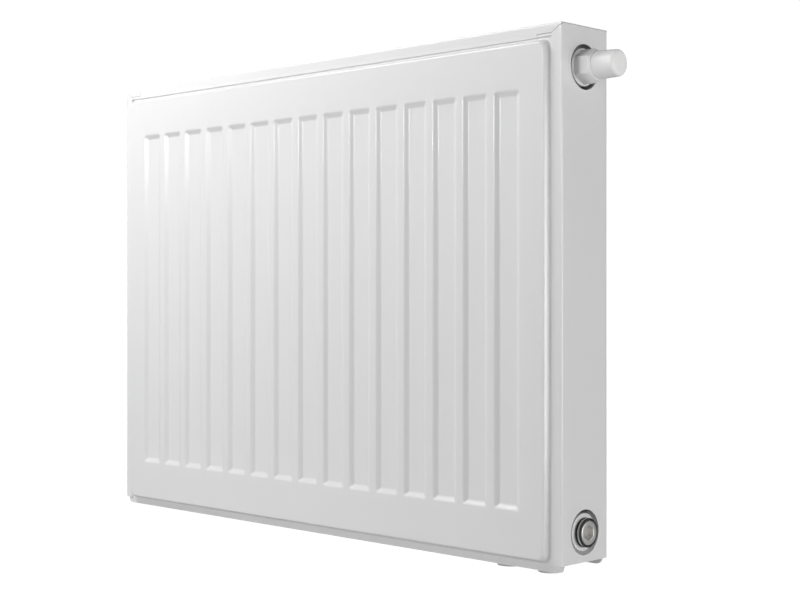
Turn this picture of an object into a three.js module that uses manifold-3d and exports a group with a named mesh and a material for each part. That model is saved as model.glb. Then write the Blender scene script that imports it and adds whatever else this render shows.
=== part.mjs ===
// Steel panel radiator with a built-in valve: two ribbed water panels, one convector between them,
// a slotted top grille, two folded side covers, four corner hubs and two connections underneath.
// Millimetres. +X runs along the radiator towards its valve end, +Y towards the wall and +Z up.
// The origin is on the plane of the hanging lugs, mid-length, level with the panels' bottom seams.
import * as THREE from "three";
import { mergeVertices } from "three/addons/utils/BufferGeometryUtils.js";
import Module from "manifold-3d";

const wasm = await Module();
wasm.setup();

// ---------------------------------------------------------------- driving dimensions
const LENGTH = 670; // over the two side covers
const HEIGHT = 500; // panels' bottom seams to the top of the covers
const COVER_DEPTH = 69; // front lip to rear lip of a side cover
const FACE_PROUD = 6; // how far a panel's face stands out past the covers' lips
const LUG_DEPTH = 9; // rear panel's face to the plane of the hanging lugs
const PANEL_SHEET = 1.2; // thickness of the panels' steel
const COVER_SHEET = 0.9; // thickness of the covers' and grille's steel
const GAP = 0.3; // clearance between pieces that touch
const FINE = 24; // sides of a round piece that shows
const COARSE = 12; // sides of a round piece inside

// the pressed panels
const SEAM_INSET = 4.5; // cover's outer face to the end of a panel's seam
const SEAM_CORNER = 4; // chamfer on the seam's corners
const SEAM_TOP_DROP = 3.5; // top of the covers to the top of the seam
const TRAY_INSET = 13.5; // cover's outer face to the wall of a panel's tray
const TRAY_BOTTOM = 7.5; // height of the bottom seam below the tray
const TRAY_TOP_DROP = 14; // top of the covers to the top of the tray
const TRAY_ROLL = 2.5; // slope of the tray's wall
const INNER_DEPTH = 5.5; // seam to the inner face of a panel
const GROOVES = 15;
const GROOVE_WIDTH = 31; // mouth of a pressed groove
const GROOVE_MARGIN = 44.5; // cover's outer face to the first groove
const GROOVE_WALL = 6.5; // run of a groove's sloping wall
const GROOVE_DEPTH = 2.2;
const GROOVE_BOTTOM = 52;
const GROOVE_TOP_DROP = 56.5; // top of the covers to the top of the grooves

// covers and grille
const COVER_BOTTOM = 6.5; // lower edge of the side covers
const LIP_WIDTH = 11.8; // lip folded round the front and back of a side cover
const LIP_HEIGHT = 12; // lip of the top grille
const TAB_LENGTH = 28.3; // tab that each side cover reaches along the top with
const TAB_HEIGHT = 10.2;
const COVER_HOLE = 42; // holes for the valve and the plugs
const SLOT_PITCH = 12.5;
const SLOT_WIDTH = 6;
const SLOT_LENGTH = 22;
const SLOT_ROWS = 2;
const SLOT_ROW_PITCH = 30;
const SLOT_MARGIN = 22; // from the end of the grille's plate to the first slot

// corner hubs, with a G 1/2 thread
const HUB_LOW = 34; // height of the lower hubs' axis
const HUB_HIGH_DROP = 38; // top of the covers to the upper hubs' axis
const HUB_DIAMETER = 35;
const HUB_LENGTH = 54;
const HUB_MOUTH = 1.5; // cover's outer face to the hub's mouth
const HUB_WALL = 6; // closed inner end of the hub
const HUB_OUTLET = 12; // hole from the drain hub into the return stub
const CROSS_INSET = 31; // cover's outer face to the tube that joins the panels
const CROSS_DIAMETER = 26;
const CROSS_BORE = 18;
const THREAD_DIAMETER = 20.955;

// connections underneath
const STUB_INSET = 40; // cover's outer face to the return stub
const STUB_SPACING = 50; // return stub to supply stub
const STUB_DIAMETER = 26.4; // G 3/4 outside
const STUB_BORE = 18.6; // G 1/2 inside
const STUB_DROP = 7; // how far the stubs reach below the panels' seams
const STUB_RIM = 2; // narrower ring at the stub's lower end
const SUPPLY_STUB_TOP = 18;
const RISER_DIAMETER = 16;
const RISER_WALL = 1.6;
const RISER_BEND = 32;
const BRACKET_BOTTOM = 4;
const BRACKET_SHEET = 3;

// convector
const FIN_PITCH = 26.2;
const FIN_DEPTH = 26;
const FIN_SHEET = 0.6;
const FIN_FLAT = 9; // flat at the foot and at the tip of a fin
const FIN_BOTTOM = 60;
const FIN_TOP_DROP = 62;
const FIN_END_INSET = 52; // cover's outer face to the convector, at the vent end

// valve: distances along X are from the valve side cover's outer face, positive outside
const VALVE_SEAT = -37;
const SEAT_BORE = 9;
const INSERT_END = -39.5;
const INSERT_NOSE = -18; // where the narrow inner part of the insert ends
const INSERT_NOSE_DIAMETER = 18;
const INSERT_GROOVE = [-7, -5];
const INSERT_FLANGE_DIAMETER = 26;
const INSERT_FLANGE = [-1.2, 0];
const INSERT_WINDOW = 14; // holes that let the water out of the insert
const NECK_DIAMETER = 22;
const NECK_END = 14;
const NECK_STEP = 5; // where the cavity widens for the gland nut
const CAVITY_DIAMETER = 14;
const GLAND_SEAT_DIAMETER = 16.4;
const LEDGE = [-22, -20]; // ring inside the insert that the spring stands on
const LEDGE_BORE = 6;
const SPINDLE_DIAMETER = 3;
const SPINDLE_END = 17.3;
const SPINDLE_COLLAR = [-4, -2.5];
const COLLAR_DIAMETER = 11;
const CARRIER_SHEET = 1.5;
const DISC_SHEET = 3;
const DISC_DIAMETER = 12;
const GLAND_BORE = 3.6;
const GLAND_GROOVE = [6.5, 8.5];
const GLAND_GROOVE_DIAMETER = 8;
const GLAND_SLEEVE_DIAMETER = 10;
const GLAND_SLEEVE = 2; // how far the gland's sleeve stands out of the neck
const SPRING_WIRE = 1;
const SPRING_DIAMETER = 8;
const SPRING_TURNS = 5;
const PRESETTING_DIAMETER = 19;
const PRESETTING_END = 17;
const PRESETTING_NOTCH = 3;
const CAP_START = 0.3;
const CAP_COLLAR_LENGTH = 12.2;
const CAP_CHAMFER = 4;
const CAP_END = 40;
const CAP_ACROSS_CORNERS = 32;
const CAP_HOLLOW_DIAMETER = 20;
const BOSS_DIAMETER = 6; // pad inside the cap that pushes the spindle
const BOSS_HEIGHT = 1.5;
const KNOB_DIAMETER = 26.4; // at the collar
const KNOB_TIP_DIAMETER = 24.6;
const KNOB_ROUND = 3.4;
const ROUND_STEPS = 4;

// plugs and air vent
const PLUG_HEAD_DIAMETER = 26;
const PLUG_HEAD = [1.1, 2.9]; // inner and outer face of the head, from the cover's outer face
const PLUG_FACE = 5;
const PLUG_FACE_DIAMETER = 22.5;
const PLUG_SOCKET = 12; // hexagon socket, across flats
const PLUG_SOCKET_DEPTH = 6;
const SEAL_DIAMETER = 27;
const PLUG_THREAD_LENGTH = 13;
const VENT_NECK_DIAMETER = 12;
const VENT_NECK_END = 12;
const VENT_SCREW_BORE = 6.6;
const VENT_SCREW_SEAT = -5;
const VENT_BORE = 3;
const BLEED_SCREW = [-4.5, 10];
const BLEED_SCREW_DIAMETER = 6;
const BLEED_SQUARE = 4; // across its flats
const BLEED_SQUARE_END = 14;
const BLEED_SLOT = 1; // width and depth
const NOZZLE_DIAMETER = 20;
const NOZZLE_END = 10.5;
const SPOUT = [5, 9];
const SPOUT_DROP = [9, 15]; // below the vent's axis
const SPOUT_WIDTH = [6, 4];

// hanging lugs
const LUG_WIDTH = 30;
const LUG_SHEET = 1.5;
const LUG_FOOT = 14; // height of the part welded to the panel
const LUG_TONGUE = 30; // height of the tongue that hooks on the bracket
const LUG_INSET = 95; // cover's outer face to the lug's middle
const LUG_HIGH_DROP = 20; // top of the covers to the top of the upper lugs
const LUG_LOW = 48; // top of the lower lugs
const CLIP_WIDTH = 14;
const CLIP_SHEET = 0.8;
const CLIP_INSET = 190; // cover's outer face to the clip's middle
const CLIP_LEG = 5;

// ---------------------------------------------------------------- places that follow from them
const END = LENGTH / 2;
const REAR_FACE = -LUG_DEPTH;
const REAR_LIP = REAR_FACE - FACE_PROUD;
const FRONT_LIP = REAR_LIP - COVER_DEPTH;
const FRONT_FACE = FRONT_LIP - FACE_PROUD;
const MIDDLE = (FRONT_LIP + REAR_LIP) / 2;
const FRONT_SEAM = FRONT_LIP + COVER_SHEET + GAP + PANEL_SHEET + GAP / 2;
const REAR_SEAM = REAR_LIP - COVER_SHEET - GAP - PANEL_SHEET - GAP / 2;
const FRONT = { face: FRONT_FACE, seam: FRONT_SEAM, in: 1 }; // in: direction into the radiator
const REAR = { face: REAR_FACE, seam: REAR_SEAM, in: -1 };
const HUB_HIGH = HEIGHT - HUB_HIGH_DROP;
const GROOVE_PITCH = (LENGTH - 2 * GROOVE_MARGIN - GROOVE_WIDTH) / (GROOVES - 1);
const RETURN_X = END - STUB_INSET;
const SUPPLY_X = RETURN_X - STUB_SPACING;

// ---------------------------------------------------------------- finishes
const paint = () => new THREE.MeshStandardMaterial({ color: 0xe9e9e9, roughness: 0.45, metalness: 0 });
const plastic = () => new THREE.MeshStandardMaterial({ color: 0xf0f0ee, roughness: 0.4, metalness: 0 });
const steel = () => new THREE.MeshStandardMaterial({ color: 0xb4b6b8, roughness: 0.4, metalness: 1 });
const nickel = () => new THREE.MeshStandardMaterial({ color: 0xcfcdc8, roughness: 0.25, metalness: 1 });
const brass = () => new THREE.MeshStandardMaterial({ color: 0xc9a455, roughness: 0.35, metalness: 1 });
const rubber = () => new THREE.MeshStandardMaterial({ color: 0x161616, roughness: 0.7, metalness: 0 });

// ---------------------------------------------------------------- shapes
// A closed geometry as a solid that can be joined and cut. Slivers with no area are left out.
function solid(geometry) {
  const bare = geometry.index ? geometry.clone() : mergeVertices(geometry.clone());
  bare.deleteAttribute("normal");
  bare.deleteAttribute("uv");
  const merged = mergeVertices(bare, 1e-4);
  const corners = merged.index.array;
  const kept = [];
  for (let i = 0; i < corners.length; i += 3) {
    const [a, b, c] = corners.slice(i, i + 3);
    if (a !== b && b !== c && c !== a) kept.push(a, b, c);
  }
  return new wasm.Manifold(
    new wasm.Mesh({
      numProp: 3,
      vertProperties: merged.attributes.position.array,
      triVerts: new Uint32Array(kept),
    }),
  );
}

// A block between two corners.
function block([x0, x1], [y0, y1], [z0, z1]) {
  const box = new THREE.BoxGeometry(x1 - x0, y1 - y0, z1 - z0);
  return solid(box.translate((x0 + x1) / 2, (y0 + y1) / 2, (z0 + z1) / 2));
}

// A block whose face at narrowY is smaller by inset all round than its face at wideY.
function frustum([x0, x1], [z0, z1], wideY, narrowY, inset) {
  const depth = Math.abs(wideY - narrowY);
  const box = new THREE.BoxGeometry(x1 - x0, depth, z1 - z0);
  const towards = Math.sign(narrowY - wideY);
  const place = box.attributes.position;
  for (let i = 0; i < place.count; i++) {
    if (Math.sign(place.getY(i)) !== towards) continue;
    place.setX(i, place.getX(i) - Math.sign(place.getX(i)) * inset);
    place.setZ(i, place.getZ(i) - Math.sign(place.getZ(i)) * inset);
  }
  return solid(box.translate((x0 + x1) / 2, (wideY + narrowY) / 2, (z0 + z1) / 2));
}

// An outline carried along one axis, from low to high. The outline's own axes follow in X, Y, Z order.
function prism(outline, axis, low, high) {
  const shape = outline.isShape ? outline : new THREE.Shape(outline.map((p) => new THREE.Vector2(...p)));
  const body = new THREE.ExtrudeGeometry(shape, { depth: high - low, bevelEnabled: false, curveSegments: 8 });
  const [x, y, z] = [
    new THREE.Vector3(1, 0, 0),
    new THREE.Vector3(0, 1, 0),
    new THREE.Vector3(0, 0, 1),
  ];
  const turn = new THREE.Matrix4();
  if (axis === "x") turn.makeBasis(y, z, x).setPosition(low, 0, 0);
  if (axis === "y") turn.makeBasis(x, z, y.negate()).setPosition(0, high, 0);
  if (axis === "z") turn.makeBasis(x, y, z).setPosition(0, 0, low);
  return solid(body.applyMatrix4(turn));
}

// A profile of [distance outside the cover, radius] turned about an axis along X through the middle
// of the depth. end is +1 at the valve end and -1 at the vent end.
function turned(profile, end, height, sides = FINE) {
  const points = profile.map(([along, radius]) => new THREE.Vector2(radius, end * (END + along)));
  if (THREE.ShapeUtils.area(points) < 0) points.reverse();
  const closed = points[0].x > 0 ? [...points, points[0].clone()] : points;
  const body = new THREE.LatheGeometry(closed, sides);
  return solid(body.rotateZ(-Math.PI / 2).translate(0, MIDDLE, height));
}

// A round bar or, with a bore, a ring, between two distances outside the cover.
function ring([from, to], diameter, bore, end, height, sides) {
  const [outer, inner] = [diameter / 2, bore / 2];
  const profile = [[from, inner], [from, outer], [to, outer], [to, inner]];
  return turned(profile, end, height, sides);
}

// A hexagon of the given size across its flats, carried along X outside a cover.
function hexagon([from, to], acrossFlats, end, height) {
  const corner = acrossFlats / Math.sqrt(3);
  const outline = [];
  for (let i = 0; i < 6; i++) {
    const angle = Math.PI / 2 + (i * Math.PI) / 3;
    outline.push([MIDDLE + corner * Math.cos(angle), height + corner * Math.sin(angle)]);
  }
  const [low, high] = [end * (END + from), end * (END + to)].sort((a, b) => a - b);
  return prism(outline, "x", low, high);
}

// An upright round bar between two heights.
function upright(x, y, diameter, low, high, sides = COARSE) {
  const bar = new THREE.CylinderGeometry(diameter / 2, diameter / 2, high - low, sides);
  return solid(bar.rotateX(Math.PI / 2).translate(x, y, (low + high) / 2));
}

// A round bar along Y between two depths.
function across(x, z, diameter, low, high, sides = COARSE) {
  const bar = new THREE.CylinderGeometry(diameter / 2, diameter / 2, high - low, sides);
  return solid(bar.translate(x, (low + high) / 2, z));
}

const root = new THREE.Group();

// Adds a finished solid to the radiator as one named mesh.
function add(name, body, material) {
  const { vertProperties, triVerts } = body.getMesh();
  const geometry = new THREE.BufferGeometry();
  geometry.setAttribute("position", new THREE.BufferAttribute(vertProperties, 3));
  geometry.setIndex(new THREE.BufferAttribute(triVerts, 1));
  const flat = geometry.toNonIndexed();
  flat.computeVertexNormals();
  const mesh = new THREE.Mesh(flat, material);
  mesh.name = name;
  root.add(mesh);
}

// ---------------------------------------------------------------- water panels
const grow = ([low, high], by) => [low - by, high + by];
const TRAY_X = [-END + TRAY_INSET, END - TRAY_INSET];
const TRAY_Z = [TRAY_BOTTOM, HEIGHT - TRAY_TOP_DROP];
const GROOVE_Z = [GROOVE_BOTTOM, HEIGHT - GROOVE_TOP_DROP];

// The rim that the two sheets of a panel are welded along, between two depths.
function seamFlange(low, high) {
  const [x, top] = [END - SEAM_INSET, HEIGHT - SEAM_TOP_DROP];
  const c = SEAM_CORNER;
  const outline = [
    [-x + c, 0], [x - c, 0], [x, c], [x, top - c],
    [x - c, top], [-x + c, top], [-x, top - c], [-x, c],
  ];
  return prism(outline, "y", Math.min(low, high), Math.max(low, high));
}

// Calls cut(x range) for each groove of a panel.
function eachGroove(cut) {
  for (let i = 0; i < GROOVES; i++) {
    const left = -END + GROOVE_MARGIN + i * GROOVE_PITCH;
    cut([left, left + GROOVE_WIDTH]);
  }
}

// The sheet that shows: a shallow tray with pressed grooves, and its seam flange.
function outerSheet(panel) {
  const into = (depth) => panel.face + panel.in * depth;
  const back = panel.seam - (panel.in * GAP) / 2;
  let sheet = seamFlange(back - panel.in * PANEL_SHEET, back);
  sheet = sheet.add(frustum(TRAY_X, TRAY_Z, back, into(0), TRAY_ROLL));
  const open = back + panel.in;
  sheet = sheet.subtract(
    frustum(grow(TRAY_X, -PANEL_SHEET), grow(TRAY_Z, -PANEL_SHEET), open, into(PANEL_SHEET), TRAY_ROLL),
  );
  const over = 0.5; // the cutter starts this far outside the face
  const run = (GROOVE_WALL * over) / GROOVE_DEPTH;
  eachGroove((x) => {
    sheet = sheet.add(frustum(x, GROOVE_Z, into(0), into(GROOVE_DEPTH + PANEL_SHEET), GROOVE_WALL));
  });
  eachGroove((x) => {
    const mouth = [grow(x, run), grow(GROOVE_Z, run)];
    sheet = sheet.subtract(frustum(...mouth, into(-over), into(GROOVE_DEPTH), GROOVE_WALL + run));
  });
  return sheet;
}

// The sheet inside the radiator: a shallower tray whose grooves reach the outer sheet's grooves.
function innerSheet(panel) {
  const away = (depth) => panel.seam + panel.in * depth;
  const back = away(GAP / 2);
  let sheet = seamFlange(back, back + panel.in * PANEL_SHEET);
  sheet = sheet.add(frustum(TRAY_X, TRAY_Z, back, away(INNER_DEPTH), TRAY_ROLL));
  sheet = sheet.subtract(
    frustum(
      grow(TRAY_X, -PANEL_SHEET),
      grow(TRAY_Z, -PANEL_SHEET),
      back - panel.in,
      away(INNER_DEPTH - PANEL_SHEET),
      TRAY_ROLL,
    ),
  );
  const floor = panel.face + panel.in * (GROOVE_DEPTH + PANEL_SHEET + GAP);
  const over = 0.5;
  const wall = GROOVE_WALL - PANEL_SHEET;
  eachGroove((x) => {
    sheet = sheet.add(frustum(x, GROOVE_Z, away(INNER_DEPTH), floor, wall));
  });
  eachGroove((x) => {
    const mouth = [grow(x, -PANEL_SHEET), grow(GROOVE_Z, -PANEL_SHEET)];
    sheet = sheet.subtract(
      frustum(...mouth, away(INNER_DEPTH + over), floor + panel.in * PANEL_SHEET, wall),
    );
  });
  const [low, high] = [back, away(2 * INNER_DEPTH)].sort((a, b) => a - b);
  for (const end of [-1, 1])
    for (const height of [HUB_LOW, HUB_HIGH])
      sheet = sheet.subtract(across(end * (END - CROSS_INSET), height, CROSS_BORE, low, high));
  return sheet;
}

function addPanels() {
  add("front_outer_sheet", outerSheet(FRONT), paint());
  add("front_inner_sheet", innerSheet(FRONT), paint());
  add("rear_inner_sheet", innerSheet(REAR), paint());
  add("rear_outer_sheet", outerSheet(REAR), paint());
}

// ---------------------------------------------------------------- convector
// One folded sheet of hat-shaped fins on the front panel, ending short of the riser.
function convector() {
  const foot = FRONT_SEAM + INNER_DEPTH + GAP;
  const start = -END + FIN_END_INSET;
  const room = SUPPLY_X - STUB_DIAMETER / 2 - GAP - start;
  const fins = Math.floor(room / FIN_PITCH);
  const slope = FIN_PITCH / 2 - FIN_FLAT;
  const near = [];
  for (let i = 0; i < fins; i++) {
    const x = start + i * FIN_PITCH;
    near.push([x, foot], [x + FIN_FLAT, foot]);
    near.push([x + FIN_FLAT + slope, foot + FIN_DEPTH - FIN_SHEET]);
    near.push([x + 2 * FIN_FLAT + slope, foot + FIN_DEPTH - FIN_SHEET]);
  }
  const last = start + fins * FIN_PITCH;
  near.push([last, foot], [last + FIN_FLAT, foot]);
  const far = near.map(([x, y]) => [x, y + FIN_SHEET]).reverse();
  return prism([...near, ...far], "z", FIN_BOTTOM, HEIGHT - FIN_TOP_DROP);
}

// ---------------------------------------------------------------- side covers
// Outline of a cover's front or rear lip, seen along Y: mitred at the top, with a narrow toe that
// reaches out below the tab or below the grille's lip.
function lipOutline(end, top) {
  const [outer, inner] = [END, END - LIP_WIDTH];
  const mitre = HEIGHT - TAB_HEIGHT - GAP;
  const toe = HEIGHT - LIP_HEIGHT + GAP;
  const low = COVER_BOTTOM;
  const outline = [
    [outer, low], [outer, top - GAP], [inner, mitre],
    [END - TAB_LENGTH, mitre], [END - TAB_LENGTH, toe], [inner, toe], [inner, low],
  ];
  return outline.map(([x, z]) => [end * x, z]);
}

// A folded side cover: wall with two holes, lips round the panels' edges, and a top flange.
// The vent end's flange and tabs lie over the grille's; the valve end's flange lies under its plate.
function sideCover(end) {
  const tabShows = end < 0;
  const drop = tabShows ? 0 : COVER_SHEET + GAP;
  const top = HEIGHT - drop;
  const range = (a, b) => [end * a, end * b].sort((p, q) => p - q);
  const depth = [FRONT_LIP, REAR_LIP];
  const flange = [range(END - TAB_LENGTH, END), grow(depth, -drop), [top - COVER_SHEET, top]];
  let cover = block(range(END - COVER_SHEET, END), depth, [COVER_BOTTOM, top]);
  cover = cover.add(block(...flange));
  for (const [low, high] of [
    [FRONT_LIP, FRONT_LIP + COVER_SHEET],
    [REAR_LIP - COVER_SHEET, REAR_LIP],
  ]) {
    cover = cover.add(prism(lipOutline(end, top), "y", low, high));
    if (!tabShows) continue;
    const tab = [
      [END, HEIGHT], [END - LIP_WIDTH, HEIGHT - TAB_HEIGHT],
      [END - TAB_LENGTH, HEIGHT - TAB_HEIGHT], [END - TAB_LENGTH, HEIGHT],
    ];
    cover = cover.add(prism(tab.map(([x, z]) => [end * x, z]), "y", low, high));
  }
  for (const height of [HUB_LOW, HUB_HIGH])
    cover = cover.subtract(ring([-3, 3], COVER_HOLE, 0, end, height));
  return cover;
}

// ---------------------------------------------------------------- top grille
// Outline of the grille's front or rear lip: square at the vent end, mitred at the valve end.
function grilleLip() {
  const [left, right] = [-END + TAB_LENGTH + GAP, END - TAB_LENGTH];
  const [low, step] = [HEIGHT - LIP_HEIGHT, HEIGHT - TAB_HEIGHT];
  return [
    [left, HEIGHT], [left, low], [right - GAP, low], [right - GAP, step],
    [END - LIP_WIDTH, step], [END - GAP, HEIGHT - GAP], [END - GAP, HEIGHT],
  ];
}

// The slotted cover between the panels' tops, folded down at the front and the back.
function topGrille() {
  const [left, right] = [-END + TAB_LENGTH + GAP, END];
  let grille = block([left, right - GAP], [FRONT_LIP, REAR_LIP], [HEIGHT - COVER_SHEET, HEIGHT]);
  for (const [low, high] of [
    [FRONT_LIP, FRONT_LIP + COVER_SHEET],
    [REAR_LIP - COVER_SHEET, REAR_LIP],
  ])
    grille = grille.add(prism(grilleLip(), "y", low, high));
  const room = right - TAB_LENGTH - left - 2 * SLOT_MARGIN - SLOT_WIDTH;
  const slots = Math.floor(room / SLOT_PITCH) + 1;
  const first = (left + right - TAB_LENGTH - (slots - 1) * SLOT_PITCH) / 2;
  for (let row = 0; row < SLOT_ROWS; row++)
    for (let i = 0; i < slots; i++) {
      const x = first + i * SLOT_PITCH;
      const y = MIDDLE + (row - (SLOT_ROWS - 1) / 2) * SLOT_ROW_PITCH;
      const slot = [grow([x, x], SLOT_WIDTH / 2), grow([y, y], SLOT_LENGTH / 2)];
      grille = grille.subtract(block(...slot, [HEIGHT - 2 * COVER_SHEET, HEIGHT + 1]));
    }
  return grille;
}

// A spring strip under the grille that hooks over the tops of both panels' seams.
function grilleClip(x) {
  const top = HEIGHT - SEAM_TOP_DROP + GAP;
  const bridge = top + CLIP_SHEET;
  const [front, rear] = [FRONT_SEAM + GAP / 2 + PANEL_SHEET + GAP, REAR_SEAM - GAP / 2 - PANEL_SHEET - GAP];
  const leg = top - GAP - CLIP_LEG;
  const t = CLIP_SHEET;
  const outline = [
    [front - t - PANEL_SHEET, top], [front, top], [front, leg], [front + t, leg], [front + t, top],
    [rear - t, top], [rear - t, leg], [rear, leg], [rear, top],
    [rear + t + PANEL_SHEET, top], [rear + t + PANEL_SHEET, bridge], [front - t - PANEL_SHEET, bridge],
  ];
  return prism(outline, "x", x - CLIP_WIDTH / 2, x + CLIP_WIDTH / 2);
}

// ---------------------------------------------------------------- corner hubs
// A threaded barrel that opens through the side cover, on a tube that joins the two panels.
function hub(end, height, inlet) {
  const [mouth, back] = [-HUB_MOUTH, -HUB_MOUTH - HUB_LENGTH];
  const bore = THREAD_DIAMETER + 2 * GAP;
  const cross = end * (END - CROSS_INSET);
  const front = FRONT_SEAM + INNER_DEPTH + GAP;
  const rear = REAR_SEAM - INNER_DEPTH - GAP;
  let body = ring([back, mouth], HUB_DIAMETER, 0, end, height, FINE);
  body = body.add(across(cross, height, CROSS_DIAMETER, front, rear));
  body = body.subtract(ring([back + HUB_WALL, mouth + 1], bore, 0, end, height, FINE));
  body = body.subtract(across(cross, height, CROSS_BORE, front - 1, rear + 1));
  if (inlet) body = body.subtract(ring([back - 1, mouth], inlet, 0, end, height, COARSE));
  return body;
}

// The drain hub also opens downwards into the return stub.
function drainHub() {
  const outlet = upright(RETURN_X, MIDDLE, HUB_OUTLET, HUB_LOW - HUB_DIAMETER, HUB_LOW);
  return hub(1, HUB_LOW).subtract(outlet);
}

function addHubs() {
  add("valve_housing", hub(1, HUB_HIGH, RISER_DIAMETER - 2 * RISER_WALL), paint());
  add("drain_hub", drainHub(), paint());
  add("vent_hub", hub(-1, HUB_HIGH), paint());
  add("blind_hub", hub(-1, HUB_LOW), paint());
}

// ---------------------------------------------------------------- connections
// A short threaded tube with a narrower rim at its lower end.
function stub(x, top) {
  const rim = upright(x, MIDDLE, STUB_DIAMETER - 2, -STUB_DROP, -STUB_DROP + STUB_RIM, FINE);
  const tube = upright(x, MIDDLE, STUB_DIAMETER, -STUB_DROP + STUB_RIM, top, FINE);
  return rim.add(tube).subtract(upright(x, MIDDLE, STUB_BORE, -STUB_DROP - 1, top - 4, FINE));
}

// The return stub is saddled round the drain hub and opens into it.
function returnStub() {
  const saddle = ring([-2 * HUB_LENGTH, HUB_MOUTH], HUB_DIAMETER + 2 * GAP, 0, 1, HUB_LOW, FINE);
  const cross = across(END - CROSS_INSET, HUB_LOW, CROSS_DIAMETER + 2 * GAP, FRONT_SEAM, REAR_SEAM);
  const tube = stub(RETURN_X, HUB_LOW - HUB_DIAMETER / 4);
  const open = tube.subtract(upright(RETURN_X, MIDDLE, STUB_BORE, 0, HUB_LOW));
  return open.subtract(saddle).subtract(cross);
}

// The supply stub closes in to the riser's bore.
function supplyStub() {
  const bore = RISER_DIAMETER - 2 * RISER_WALL;
  return stub(SUPPLY_X, SUPPLY_STUB_TOP).subtract(upright(SUPPLY_X, MIDDLE, bore, 0, SUPPLY_STUB_TOP + 1));
}

// The pipe that carries the flow from the supply stub up to the back of the valve housing.
function riserPipe() {
  const start = new THREE.Vector3(SUPPLY_X, MIDDLE, SUPPLY_STUB_TOP + GAP);
  const housing = END - HUB_MOUTH - HUB_LENGTH - GAP;
  const corner = new THREE.Vector3(SUPPLY_X, MIDDLE, HUB_HIGH);
  const bendFrom = corner.clone().add(new THREE.Vector3(0, 0, -RISER_BEND));
  const bendTo = corner.clone().add(new THREE.Vector3(RISER_BEND, 0, 0));
  const path = new THREE.CurvePath();
  path.add(new THREE.LineCurve3(start, bendFrom));
  path.add(new THREE.QuadraticBezierCurve3(bendFrom, corner, bendTo));
  path.add(new THREE.LineCurve3(bendTo, new THREE.Vector3(housing, MIDDLE, HUB_HIGH)));
  const wall = new THREE.Shape();
  wall.absarc(0, 0, RISER_DIAMETER / 2, 0, 2 * Math.PI);
  const bore = new THREE.Path();
  bore.absarc(0, 0, RISER_DIAMETER / 2 - RISER_WALL, 0, 2 * Math.PI, true);
  wall.holes.push(bore);
  return solid(new THREE.ExtrudeGeometry(wall, { steps: 24, curveSegments: 5, extrudePath: path }));
}

// A strap with two collars that holds both stubs at their spacing.
function stubBracket() {
  const y = grow([MIDDLE, MIDDLE], STUB_DIAMETER / 2 + 3);
  const x = grow([SUPPLY_X, RETURN_X], STUB_DIAMETER / 2 + 3);
  const z = [BRACKET_BOTTOM, BRACKET_BOTTOM + BRACKET_SHEET];
  let strap = block(x, y, z);
  for (const at of [SUPPLY_X, RETURN_X])
    strap = strap.subtract(upright(at, MIDDLE, STUB_DIAMETER + 2 * GAP, z[0] - 1, z[1] + 1, FINE));
  return strap;
}

function addConnections() {
  add("return_stub", returnStub(), paint());
  add("supply_stub", supplyStub(), paint());
  add("stub_bracket", stubBracket(), paint());
  add("riser_pipe", riserPipe(), paint());
}

// ---------------------------------------------------------------- valve
const valveRing = (span, diameter, bore, sides) => ring(span, diameter, bore, 1, HUB_HIGH, sides);

// Brass insert: seat at its inner end, thread, flange and the neck that the cap screws on.
function valveInsert() {
  const [flangeIn, flangeOut] = INSERT_FLANGE;
  const [grooveIn, grooveOut] = INSERT_GROOVE;
  const [thread, nose] = [THREAD_DIAMETER / 2, INSERT_NOSE_DIAMETER / 2];
  const [cavity, gland] = [CAVITY_DIAMETER / 2, GLAND_SEAT_DIAMETER / 2];
  const profile = [
    [INSERT_END, SEAT_BORE / 2], [INSERT_END, nose], [INSERT_NOSE, nose], [INSERT_NOSE, thread],
    [grooveIn, thread], [grooveIn, nose], [grooveOut, nose], [grooveOut, thread],
    [flangeIn, thread], [flangeIn, INSERT_FLANGE_DIAMETER / 2],
    [flangeOut, INSERT_FLANGE_DIAMETER / 2], [flangeOut, NECK_DIAMETER / 2],
    [NECK_END, NECK_DIAMETER / 2], [NECK_END, gland], [NECK_STEP, gland], [NECK_STEP, cavity],
    [LEDGE[1], cavity], [LEDGE[1], LEDGE_BORE / 2], [LEDGE[0], LEDGE_BORE / 2], [LEDGE[0], cavity],
    [VALVE_SEAT, cavity], [VALVE_SEAT, SEAT_BORE / 2],
  ];
  const insert = turned(profile, 1, HUB_HIGH, COARSE);
  const [low, high] = grow([MIDDLE, MIDDLE], INSERT_NOSE_DIAMETER);
  return insert.subtract(across(END - CROSS_INSET, HUB_HIGH, INSERT_WINDOW, low, high));
}

// Gland nut in the neck, with a sleeve outside and room for its ring seal.
function glandNut() {
  const [inside, outside] = [NECK_STEP + GAP, NECK_END + GLAND_SLEEVE];
  const [bore, body] = [GLAND_BORE / 2, GLAND_SEAT_DIAMETER / 2 - GAP];
  const [groove, sleeve] = [GLAND_GROOVE_DIAMETER / 2, GLAND_SLEEVE_DIAMETER / 2];
  const profile = [
    [inside, bore], [GLAND_GROOVE[0], bore], [GLAND_GROOVE[0], groove], [GLAND_GROOVE[1], groove],
    [GLAND_GROOVE[1], bore], [outside, bore], [outside, sleeve], [NECK_END, sleeve],
    [NECK_END, body], [inside, body],
  ];
  return turned(profile, 1, HUB_HIGH, COARSE);
}

const DISC = [VALVE_SEAT + GAP, VALVE_SEAT + GAP + DISC_SHEET];

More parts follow.
